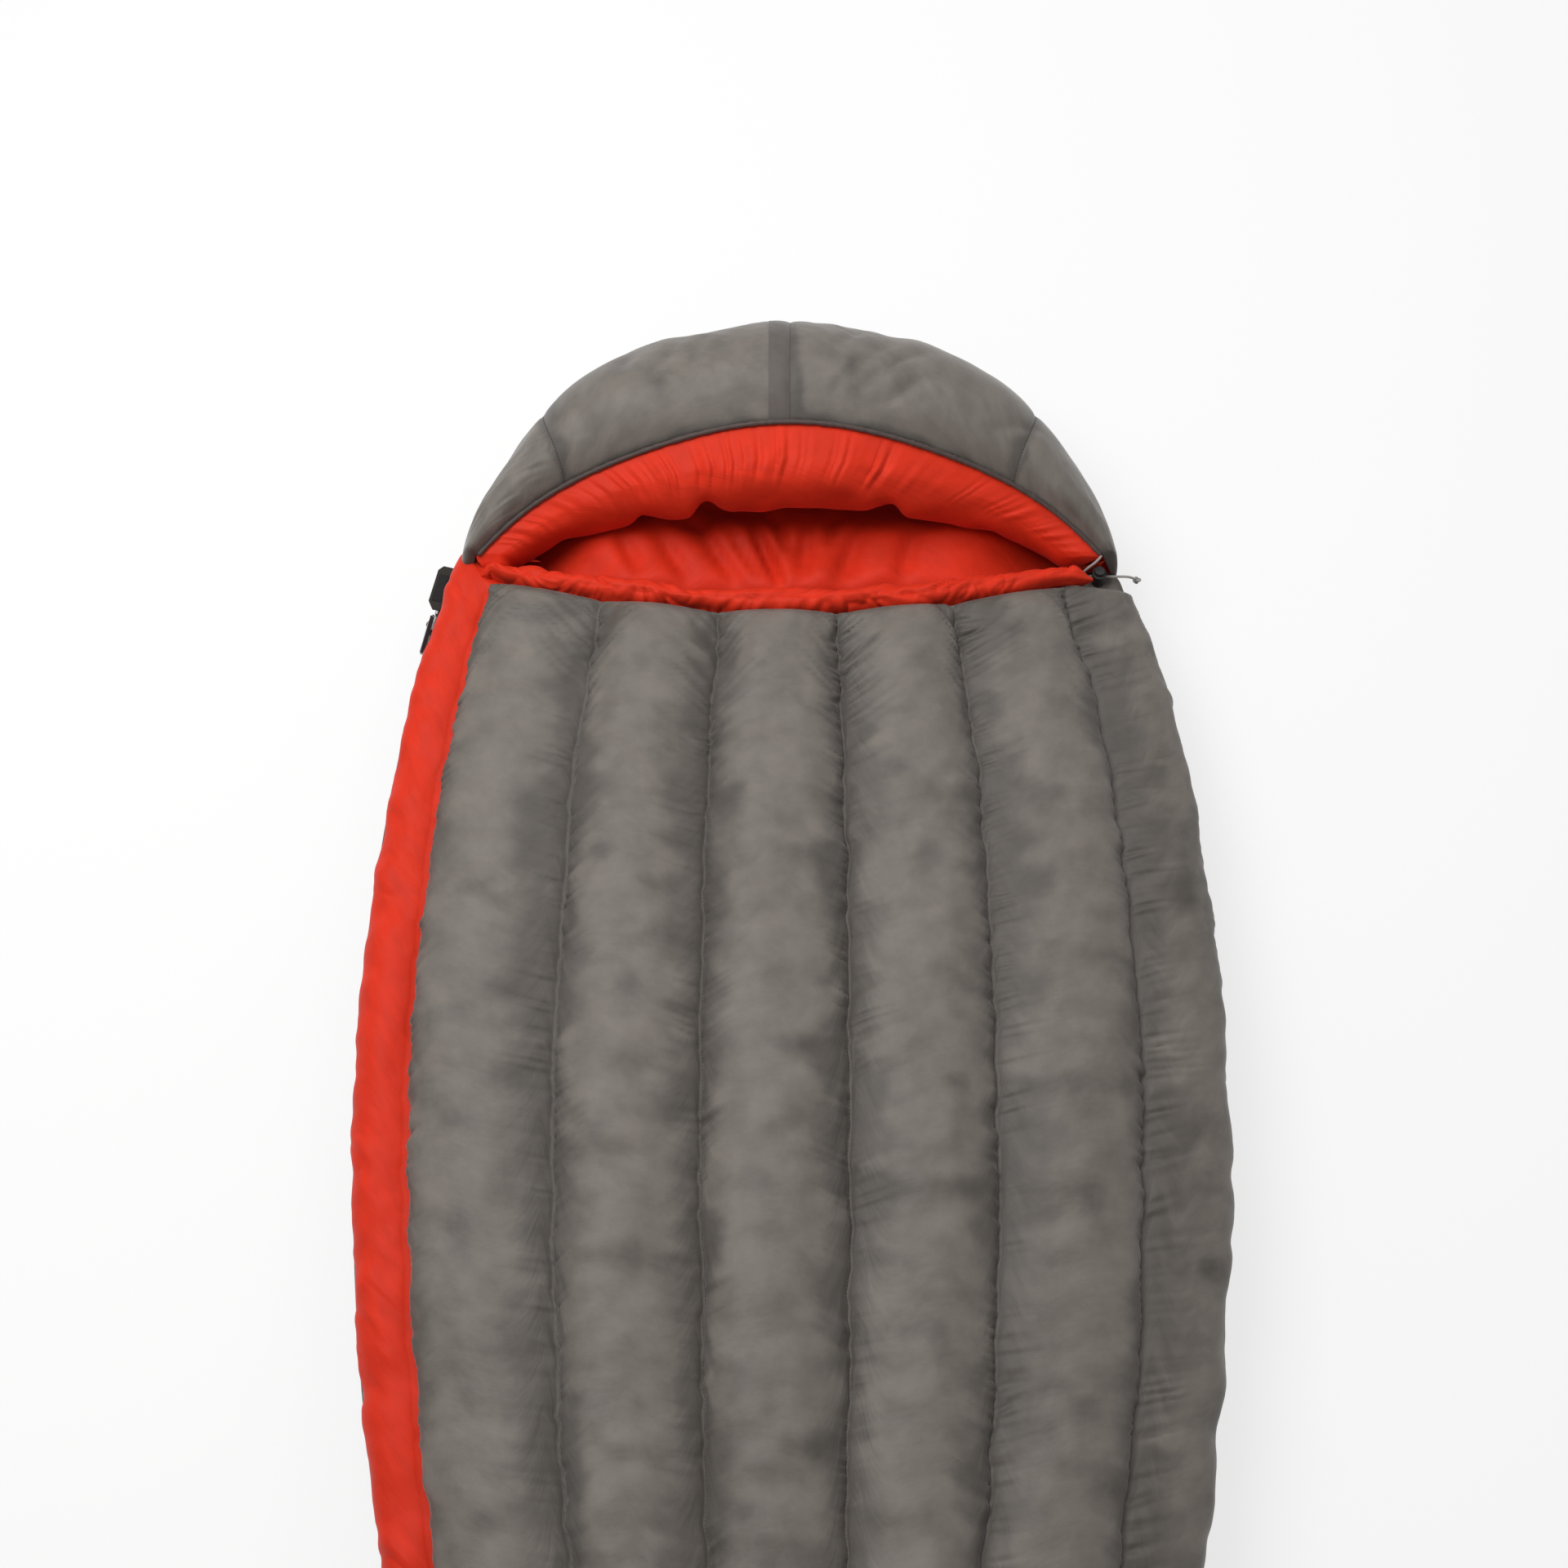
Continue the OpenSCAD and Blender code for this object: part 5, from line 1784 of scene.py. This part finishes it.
@dataclass
class FaceRoll:
    """Padded roll round the face opening, gathered along the rim, with the cord in its tunnel."""

    form: HoodForm = HOOD
    stations: int = 330
    around: int = 46
    first_degrees: float = 104
    last_degrees: float = 296
    gather_degrees: float = 112
    rim_degrees: float = 110
    lip_turn: float = 3.7
    gather: float = 0.0046
    swell: float = 0.09
    small_swell: float = 0.075
    tack_turn: float = 3.75
    tunnel_gather: float = 0.0007
    skin_gap: float = 0.0005
    cord_radius: float = 0.0012
    tunnel_radius: float = 0.0019

    TACKS = (
        Dimple(-0.133, 0.34, 0.012), Dimple(-0.077, 0.46, 0.012), Dimple(0.091, 0.46, 0.013),
        Dimple(0.188, 0.20, 0.016), Dimple(-0.205, 0.18, 0.014),
    )

    def build(self) -> None:
        """Builds and dresses the roll, the tunnel on the rim and the cord inside it."""
        h = self.form
        f = h.start + (np.pi - 2 * h.start) * crowded(self.stations, 0.25)
        start, run = self._start(f)
        side = np.linspace(0, 1, start.shape[1])[None, :]
        patch = 0.75 + 0.45 * SoftNoise(81)(run + 20, side, 0.05, 3.0)
        spare = (0.075 * bump(side, 0.16) + 0.03 * bump(side - 0.52, 0.12) + 0.012) * patch
        held = held_edges(start, ENDS)
        skin = Cloth(start, held, spare, 0.01, side=-1.0, seed=14, steps=120, reach=0.006).settle()
        first, last = np.stack(drawn_end(skin[0], False)), np.stack(drawn_end(skin[-1], True))
        roll = add_grid("face_roll", np.concatenate([first[::-1], skin, last]))
        dress(roll, RED_LINING, "face_roll_sleeve", "face_roll_down", soft=0.8)
        path = self.rim_path(f)
        gathers = self.tunnel_gather * np.abs(SoftNoise(83).line(run_along(path), 0.006))
        dress(tube("rim_channel", path, self.tunnel_radius + gathers, 12), RIM_SHADOW_TAPE, "rim_tunnel")
        dress(tube("rim_cord", path, self.cord_radius, 8), GREY_CORD, "hood_drawcord")

    def _start(self, f: Array) -> tuple[Points, Array]:
        """The roll before it settles.

        Args:
            f: angles round the arch, from the zip-side corner to the other.

        Returns:
            Its points, from the shell's rim round to the lining's rim, and the length along its lip.
        """
        h, noise = self.form, SoftNoise(81)
        mid, r = h.roll_mid(f), h.plump(f) * h.roll_radius
        a = np.radians(np.linspace(self.first_degrees, self.last_degrees, self.around))[None, :]
        lip = h.at(f, mid[:, 0] + r * math.cos(self.lip_turn), mid[:, 1] + r * math.sin(self.lip_turn))
        run = run_along(lip)[:, None]
        size = 1 + self.swell * noise(run, a * 0.04, 0.07, 0.05)
        size = size + self.small_swell * noise(run + 7, a * 0.04, 0.025, 0.03)
        for d in self.TACKS:
            place = np.interp(d.x, lip[:, 0], run[:, 0])
            size = size - d.depth * bump(run - place, d.width) * bump(a - self.tack_turn, 0.75)
        patch = np.clip(0.8 + 0.8 * noise.line(run + 60, 0.05), 0.1, 1.6)
        gathers = folded(noise.line(run + 50 + 0.010 * a, 0.0062)) * patch
        gathers = self.gather * gathers * bump(a - math.radians(self.gather_degrees), 0.36)
        radius = r[:, None] * size + gathers
        out, up = mid[:, :1] + radius * np.cos(a), mid[:, 1:] + radius * np.sin(a)
        ring = h.at(np.broadcast_to(f[:, None], radius.shape), out - self.skin_gap, up)
        rims = []
        for out, up in (h.section_out(f, h.rim_turn), h.section_in(f, h.rim_turn)):
            rims.append(h.at(f, out - self.skin_gap, up)[:, None])
        e = np.linspace(0, 1, 6)[None, :, None]
        lead = rims[0] + (ring[:, :1] - rims[0]) * e[:, :-1]
        tail = ring[:, -1:] + (rims[1] - ring[:, -1:]) * e[:, 1:]
        return np.concatenate([lead, ring, tail], 1), run

    def rim_path(self, f: Array) -> Points:
        """Middle of the cord's tunnel, in the valley between the crown and the roll.

        Args:
            f: angles round the arch.

        Returns:
            One point for each angle.
        """
        h, turn = self.form, math.radians(self.rim_degrees)
        wall = unit(np.stack([math.cos(h.rim_turn) / h.deep(f), math.sin(h.rim_turn) / h.tall(f)], -1))
        way = np.array([math.cos(turn), math.sin(turn)])
        run = unit(h.rim_out(f) - h.roll_mid(f) - (h.plump(f) * h.roll_radius)[:, None] * way)
        up = unit(wall + np.stack([-run[:, 1], run[:, 0]], -1))
        lift = (self.cord_radius + self.tunnel_radius) / (up * wall).sum(-1)
        c = h.rim_out(f) + up * lift[:, None]
        return h.at(f, c[:, 0], c[:, 1])


@dataclass
class DraftCollar:
    """Ruffled tube along the chest edge, with its elastic."""

    form: BagForm = FORM
    half: float = 0.014
    stations: int = 460
    around: int = 44
    reach_left: float = -0.95
    reach_right: float = 0.925
    crinkle: float = 0.5
    edge_gap: float = 0.0027
    end_lift: float = 0.010

    BAND = ((0.0015, 0.003), (0.0025, 0.003), (0.0025, -0.003), (0.0015, -0.003))

    def _pleats(self, run: Array, turn: Array) -> Array:
        """Share of full size at each point: uneven slanting crinkles with sharp folds between them.

        Args:
            run: length along the collar.
            turn: angle round it.

        Returns:
            One share for each point.
        """
        noise = SoftNoise(92)
        over = 0.018 * (turn + 0.4 * np.sin(turn))
        slant = 1.3 * noise(run + 31, over, 0.06, 0.2)
        patch = np.clip(0.7 + 0.8 * noise(run + 37, over, 0.045, 0.05), 0.15, 1.3)
        first = folded(noise(run + slant * over, 0.6 * over, 0.015, 0.04))
        second = folded(noise(run - 0.5 * over + 7, over + 3, 0.0085, 0.02))
        third = noise(run + 20, over, 0.035, 0.03)
        return 0.96 + self.crinkle * (patch * first + 0.35 * (1.3 - patch) * second + 0.4 * third)

    def build(self) -> None:
        """Builds and dresses the ruffle and the elastic behind it."""
        f = self.form
        low, high = f.top_turn(np.array([self.reach_left, self.reach_right]))
        a = np.linspace(low, high, self.stations)
        y = f.edge_y(f.top_u(a))
        spot = (f.top_out(a, y) + f.top_in(a, y)) / 2
        s = np.linspace(0, 1, self.stations)
        to_end = np.minimum(s, 1 - s)[:, None]
        size = (0.66 + 0.34 * np.sin(a[:, None]) ** 2) * (0.15 + 0.85 * ease(to_end / 0.07))
        wide, tall = self.half * size, ((f.front_thick + f.puff_height) / 2 - 0.002) * size
        turn = ring_turns(self.around)[None, :]
        swell = self._pleats(run_along(spot)[:, None], turn)
        raised = self.end_lift * (1 - ease(to_end / 0.12))
        start = looped(stack(
            spot[:, :1],
            spot[:, 1:2] + wide + self.edge_gap + wide * np.sin(turn) * swell,
            spot[:, 2:] + raised + tall * np.cos(turn) * (0.35 + 0.65 * swell),
        ))
        held = held_edges(start, ENDS)
        held[:, :-1][:, np.sin(turn[0]) < -0.8] = True
        skin = Cloth(start, held, 0.02, 0.01, seed=16, steps=40, reach=0.002, bend=0.02).settle()
        ruffle = capped_sweep("draft_collar", skin[:, :-1], flip=True)
        dress(ruffle, RED_LINING, "collar_sleeve", "collar_down", soft=0.5)
        spot = spot[(s > 0.04) & (s < 0.96)]
        rows = np.stack([spot + np.array([0, ahead, up]) for ahead, up in self.BAND], 1)
        dress(capped_sweep("collar_elastic_band", rows, flip=True), BLACK_WEBBING, "collar_elastic")


# Zip and small parts


@dataclass
class SideZip:
    """Coil zip along one side, with its tapes, draft tube, stops, slider and pull."""

    form: BagForm = FORM
    coil_gap: float = 0.0008
    coil_width: float = 0.0026
    coil_pitch: float = 0.0016
    wire: float = 0.00042
    coil_out: float = 0.0002
    coil_inset: float = math.radians(0.15)
    tape_out: float = -0.0002
    tape_in: float = -0.001
    tube_out: float = -0.0046
    tube_margin: float = 0.006
    stations: int = 420

    SIDES = (("upper", "front", 1), ("lower", "back", -1))

    def build(self) -> None:
        """Builds and dresses every piece of the zip."""
        f = self.form
        low, high = f.zip_turn(f.zip_end), f.zip_turn(f.zip_top)
        turn = np.linspace(low, high, self.stations)[:, None]
        self._tapes(turn)
        self._coils(low + self.coil_inset, high - self.coil_inset)
        self._draft_tube(turn)
        softened_copy("zip_stops", "zip_end_stops", 0.0006, BLACK_METAL)
        softened_copy("zip_slider", "zip_slider_body", 0.0004, BLACK_METAL, "zip_slider")
        softened_copy("zip_pull", "zip_slider_pull", 0.0004, BLACK_METAL, "zip_pull")

    def _tapes(self, turn: Array) -> None:
        """Woven tapes on both sides of the coil.

        Args:
            turn: angles along the zip.
        """
        f = self.form
        out = np.array([self.tape_in, self.tape_out, self.tape_out, self.tape_in])
        inner, outer = self.coil_gap, f.zip_gap - f.fit_gap
        for name, node, way in self.SIDES:
            up = way * np.array([inner, inner, outer, outer])
            tape = capped_sweep(f"zip_tape_{name}", f.zip_spot(turn, out, up), flip=way < 0)
            dress(tape, BLACK_WEBBING, f"zip_tape_{node}")
            tape.data.polygons.foreach_set("use_smooth", np.zeros(len(tape.data.polygons), bool))

    def _coils(self, low: float, high: float) -> None:
        """Two wound coils whose turns lie between each other.

        Args:
            low: angle of the lower end.
            high: angle of the upper end.
        """
        f, half = self.form, self.coil_width / 2
        count = int((high - low) * f.side_radius / self.coil_pitch)
        phase = np.linspace(0, count * 2 * np.pi, count * 10 + 1)
        turn = np.linspace(low, high, len(phase))
        out = self.coil_out + half + (half - self.wire) * np.sin(phase)
        swing = half + self.coil_gap * 0.8 - self.wire
        for name, node, way in self.SIDES:
            up = way * (self.coil_gap + half) - swing * np.cos(phase + (0 if way > 0 else np.pi))
            coil = tube(f"zip_coil_{name}", f.zip_spot(turn, out, up), self.wire, 5)
            dress(coil, BLACK_NYLON, f"zip_coil_{node}")

    def _draft_tube(self, turn: Array) -> None:
        """Soft red tube behind the zip.

        Args:
            turn: angles along the zip.
        """
        f = self.form
        half, reach = f.zip_gap - f.fit_gap, (f.side_thick - self.tube_margin) / 2
        q = ring_turns(32)[None, :]
        run = (turn - turn[0]) * f.side_radius
        rub = 1 - 0.05 * np.abs(SoftNoise(101)(run, np.cos(q) * 0.02, 0.018, 0.02))
        out = self.tube_out - reach + (reach - half) * signed_power(np.cos(q), 0.3) + half * np.cos(q)
        rings = f.zip_spot(turn, out, half * np.sin(q) * rub)
        dress(capped_sweep("draft_tube", rings), RED_LINING, "draft_tube_sleeve", "draft_tube_down", soft=0.5)


@dataclass
class NeckTab:
    """Black webbing tab over the top of the zip, with its hook and loop patches."""

    def build(self) -> None:
        """Builds and dresses the tab's four pieces."""
        softened_copy("tab_anchor", "tab_anchor_webbing", 0.0003, BLACK_WEBBING)
        softened_copy("neck_tab", "neck_tab_webbing", 0.0005, BLACK_WEBBING, "neck_flap")
        softened_copy("tab_hook", "tab_hook_patch", 0.0002, BLACK_PILE, "neck_flap")
        softened_copy("tab_loop", "tab_loop_patch", 0.0002, BLACK_PILE)


@dataclass
class CordLock:
    """Spring cord lock on the hood cord, with the cord's loose end through it."""

    roll: FaceRoll
    form: BagForm = FORM
    cord_diameter: float = 0.0024
    knot_size: float = 0.0066
    neck_drop: float = 0.005
    cord_height: float = 0.009
    lock_inset: float = 0.030
    lock_width: float = 0.013
    lock_lead: float = 0.003
    level_end: float = 0.024
    spring_turns: int = 4
    spring_wire: float = 0.0003
    spring_pressed: float = 0.08

    DROOP = ((0.026, 0.0002), (0.0288, 0.0009), (0.0312, 0.0022), (0.0333, 0.0040), (0.035, 0.006))

    def _route(self) -> Points:
        """Middle line of the loose end: out of the rim, through the lock and over the side.

        Returns:
            The points, from the rim to the knot.
        """
        f, h = self.form, HOOD
        y = f.y_neck - self.neck_drop
        x = float(f.half_width(np.array(y))) - self.lock_inset
        z = f.seam_height + f.fit_gap + self.cord_height
        before = x - self.lock_width / 2 - self.lock_lead
        start = self.roll.rim_path(np.array([np.pi - h.start]))[0] - np.array([0, f.fit_gap, 0])
        bent, level = start + np.array([-0.001, -0.008, 0]), np.array([x - 0.026, y, z + 0.004])
        t = np.linspace(0, 1, 28)[:, None]
        curve = (1 - t) ** 3 * start + 3 * t * (1 - t) ** 2 * bent
        curve = curve + 3 * t * t * (1 - t) * level + t**3 * np.array([before, y, z])
        straight = stack(np.linspace(before, x + self.level_end, 14)[1:], y, z)
        droop = np.array([[x + ahead, y, z - down] for ahead, down in self.DROOP])
        return np.concatenate([curve, straight, droop])

    def _knot(self, path: Points) -> Points:
        """Middle line of the overhand knot at the cord's end, a small trefoil.

        Args:
            path: the cord's middle line.

        Returns:
            The points of the knot.
        """
        way, side = unit(path[-1] - path[-2]), np.array([0.0, 1.0, 0.0])
        t = np.linspace(0, 2 * np.pi, 73)
        flat = stack(np.sin(t) + 2 * np.sin(2 * t), np.cos(t) - 2 * np.cos(2 * t), -np.sin(3 * t))
        flat = flat * self.knot_size / 6
        middle = path[-1] + way * self.knot_size * 0.3
        return middle + flat[:, :1] * np.cross(way, side) + flat[:, 1:2] * way + flat[:, 2:] * side * 1.3

    def build(self) -> None:
        """Builds and dresses the cord's loose end with its knot, and the lock's three pieces."""
        path = self._route()
        cord = dress(tube("cord_tail", path, self.cord_diameter / 2, 10), GREY_CORD, "drawcord_tail")
        knot = dress(tube("cord_knot", self._knot(path), self.cord_diameter / 2, 8), GREY_CORD)
        softened_copy("cord_lock_body", "cord_lock_barrel", 0.0008, BLACK_PLASTIC, "cord_lock")
        softened_copy("cord_lock_button", "cord_lock_plunger", 0.0008, BLACK_PLASTIC, "lock_button")
        self._spring()

    def _spring(self) -> None:
        """Wound spring under the button, built at the length of the imported spring's box."""
        low, high = (np.array(corner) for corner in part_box("cord_lock_spring"))
        x, y, _ = (low + high) / 2
        wire = self.spring_wire
        radius = (high[0] - low[0]) / 2 - wire
        turn = np.linspace(0, 2 * np.pi * self.spring_turns, 24 * self.spring_turns + 1)
        z = np.linspace(low[2] + wire, high[2] - wire, len(turn))
        path = stack(x + radius * np.cos(turn), y + radius * np.sin(turn), z)
        spring = tube("cord_lock_coil", path, wire, 6)
        dress(spring, SPRING_STEEL, "cord_lock_spring", body="cord_lock")
        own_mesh(spring)


@dataclass
class HangLoops:
    """Two webbing loops on the foot end for airing the bag."""

    def build(self) -> None:
        """Builds and dresses the loops."""
        softened_copy("hang_loops", "hang_loop_webbing", 0.0003, BLACK_WEBBING)


# Stage


@dataclass
class Studio:
    """Pale floor, soft lamps and the camera."""

    target: tuple[float, float, float] = (-0.005, 0.510, 0.090)
    distance: float = 2.6
    elevation: float = math.radians(68)
    lens: float = 65.9
    sensor: float = 36
    floor_half: float = 12
    floor_white: float = 0.72
    surround: float = 0.34

    def build(self) -> None:
        """Sets the view transform and builds the camera, floor, lamps and world."""
        scene = bpy.context.scene
        scene.view_settings.view_transform = "Standard"
        back = Vector((0, -math.cos(self.elevation), math.sin(self.elevation)))
        data = bpy.data.cameras.new("camera")
        data.lens, data.sensor_width = self.lens, self.sensor
        scene.camera = self._aimed("camera", data, Vector(self.target) + back * self.distance)
        self._floor()
        self._lamp("key_lamp", (-0.85, 0.95, 2.2), 1.4, 39)
        self._lamp("top_lamp", (0.5, 1.9, 1.9), 1.2, 9)
        self._world(scene)

    def _aimed(self, name: str, data: bpy.types.ID, place: Vector) -> Piece:
        """A camera or lamp that looks at the target.

        Args:
            name: its name.
            data: its camera or lamp data.
            place: where it stands.

        Returns:
            The new object.
        """
        obj = bpy.data.objects.new(name, data)
        obj.location = place
        obj.rotation_euler = (Vector(self.target) - place).to_track_quat("-Z", "Y").to_euler()
        bpy.context.scene.collection.objects.link(obj)
        return obj

    def _lamp(self, name: str, place: tuple[float, float, float], size: float, power: float) -> None:
        """One square soft lamp that faces the bag.

        Args:
            name: the lamp's name.
            place: where it stands.
            size: length of its sides.
            power: its power in watts.
        """
        data = bpy.data.lights.new(name, "AREA")
        data.size, data.energy = size, power
        self._aimed(name, data, Vector(place))

    def _floor(self) -> None:
        """Wide pale floor, for the most part plain white where it is seen straight."""
        e = self.floor_half
        floor = add_mesh("floor", np.array([(-e, -e, 0), (e, -e, 0), (e, e, 0), (-e, e, 0)]), [(0, 1, 2, 3)])
        mat, board = new_material("pale_floor")
        pale = {"Base Color": (0.92, 0.92, 0.92, 1), "Roughness": 0.9, "Specular IOR Level": 0.1}
        board.feed("Principled BSDF", pale)
        white = board.add("Emission", "Emission", {"Color": (1, 1, 1, 1), "Strength": 1})
        share = board.add("Math", "Value", {0: board.seen_rays(), 1: self.floor_white}, operation="MULTIPLY")
        lit = mat.node_tree.nodes["Principled BSDF"].outputs["BSDF"]
        mixed = board.add("MixShader", "Shader", {"Fac": share, 1: lit, 2: white})
        board.feed("Material Output", {"Surface": mixed})
        floor.data.materials.append(mat)

    def _world(self, scene: bpy.types.Scene) -> None:
        """Even white surround.

        Args:
            scene: the scene that it surrounds.
        """
        world = bpy.data.worlds.new("surround")
        world.use_nodes = True
        board = NodeBoard(world.node_tree)
        ends = {"To Min": self.surround, "To Max": 1}
        level = board.add("MapRange", "Result", {"Value": board.seen_rays(), **ends})
        board.feed("Background", {"Color": (1, 1, 1, 1), "Strength": level})
        scene.world = world


def main() -> None:
    """Builds every sub-assembly in order."""
    logging.basicConfig(level=logging.INFO, format="%(name)s %(message)s")
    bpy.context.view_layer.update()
    Studio().build()
    roll = FaceRoll()
    CordLock(roll).build()
    quilts = (TopQuilt(), BackQuilt(), FootCap())
    for part in (*quilts, HoodCrown(), roll, DraftCollar(), SideZip(), NeckTab(), HangLoops()):
        part.build()


if __name__ == "__main__":
    main()
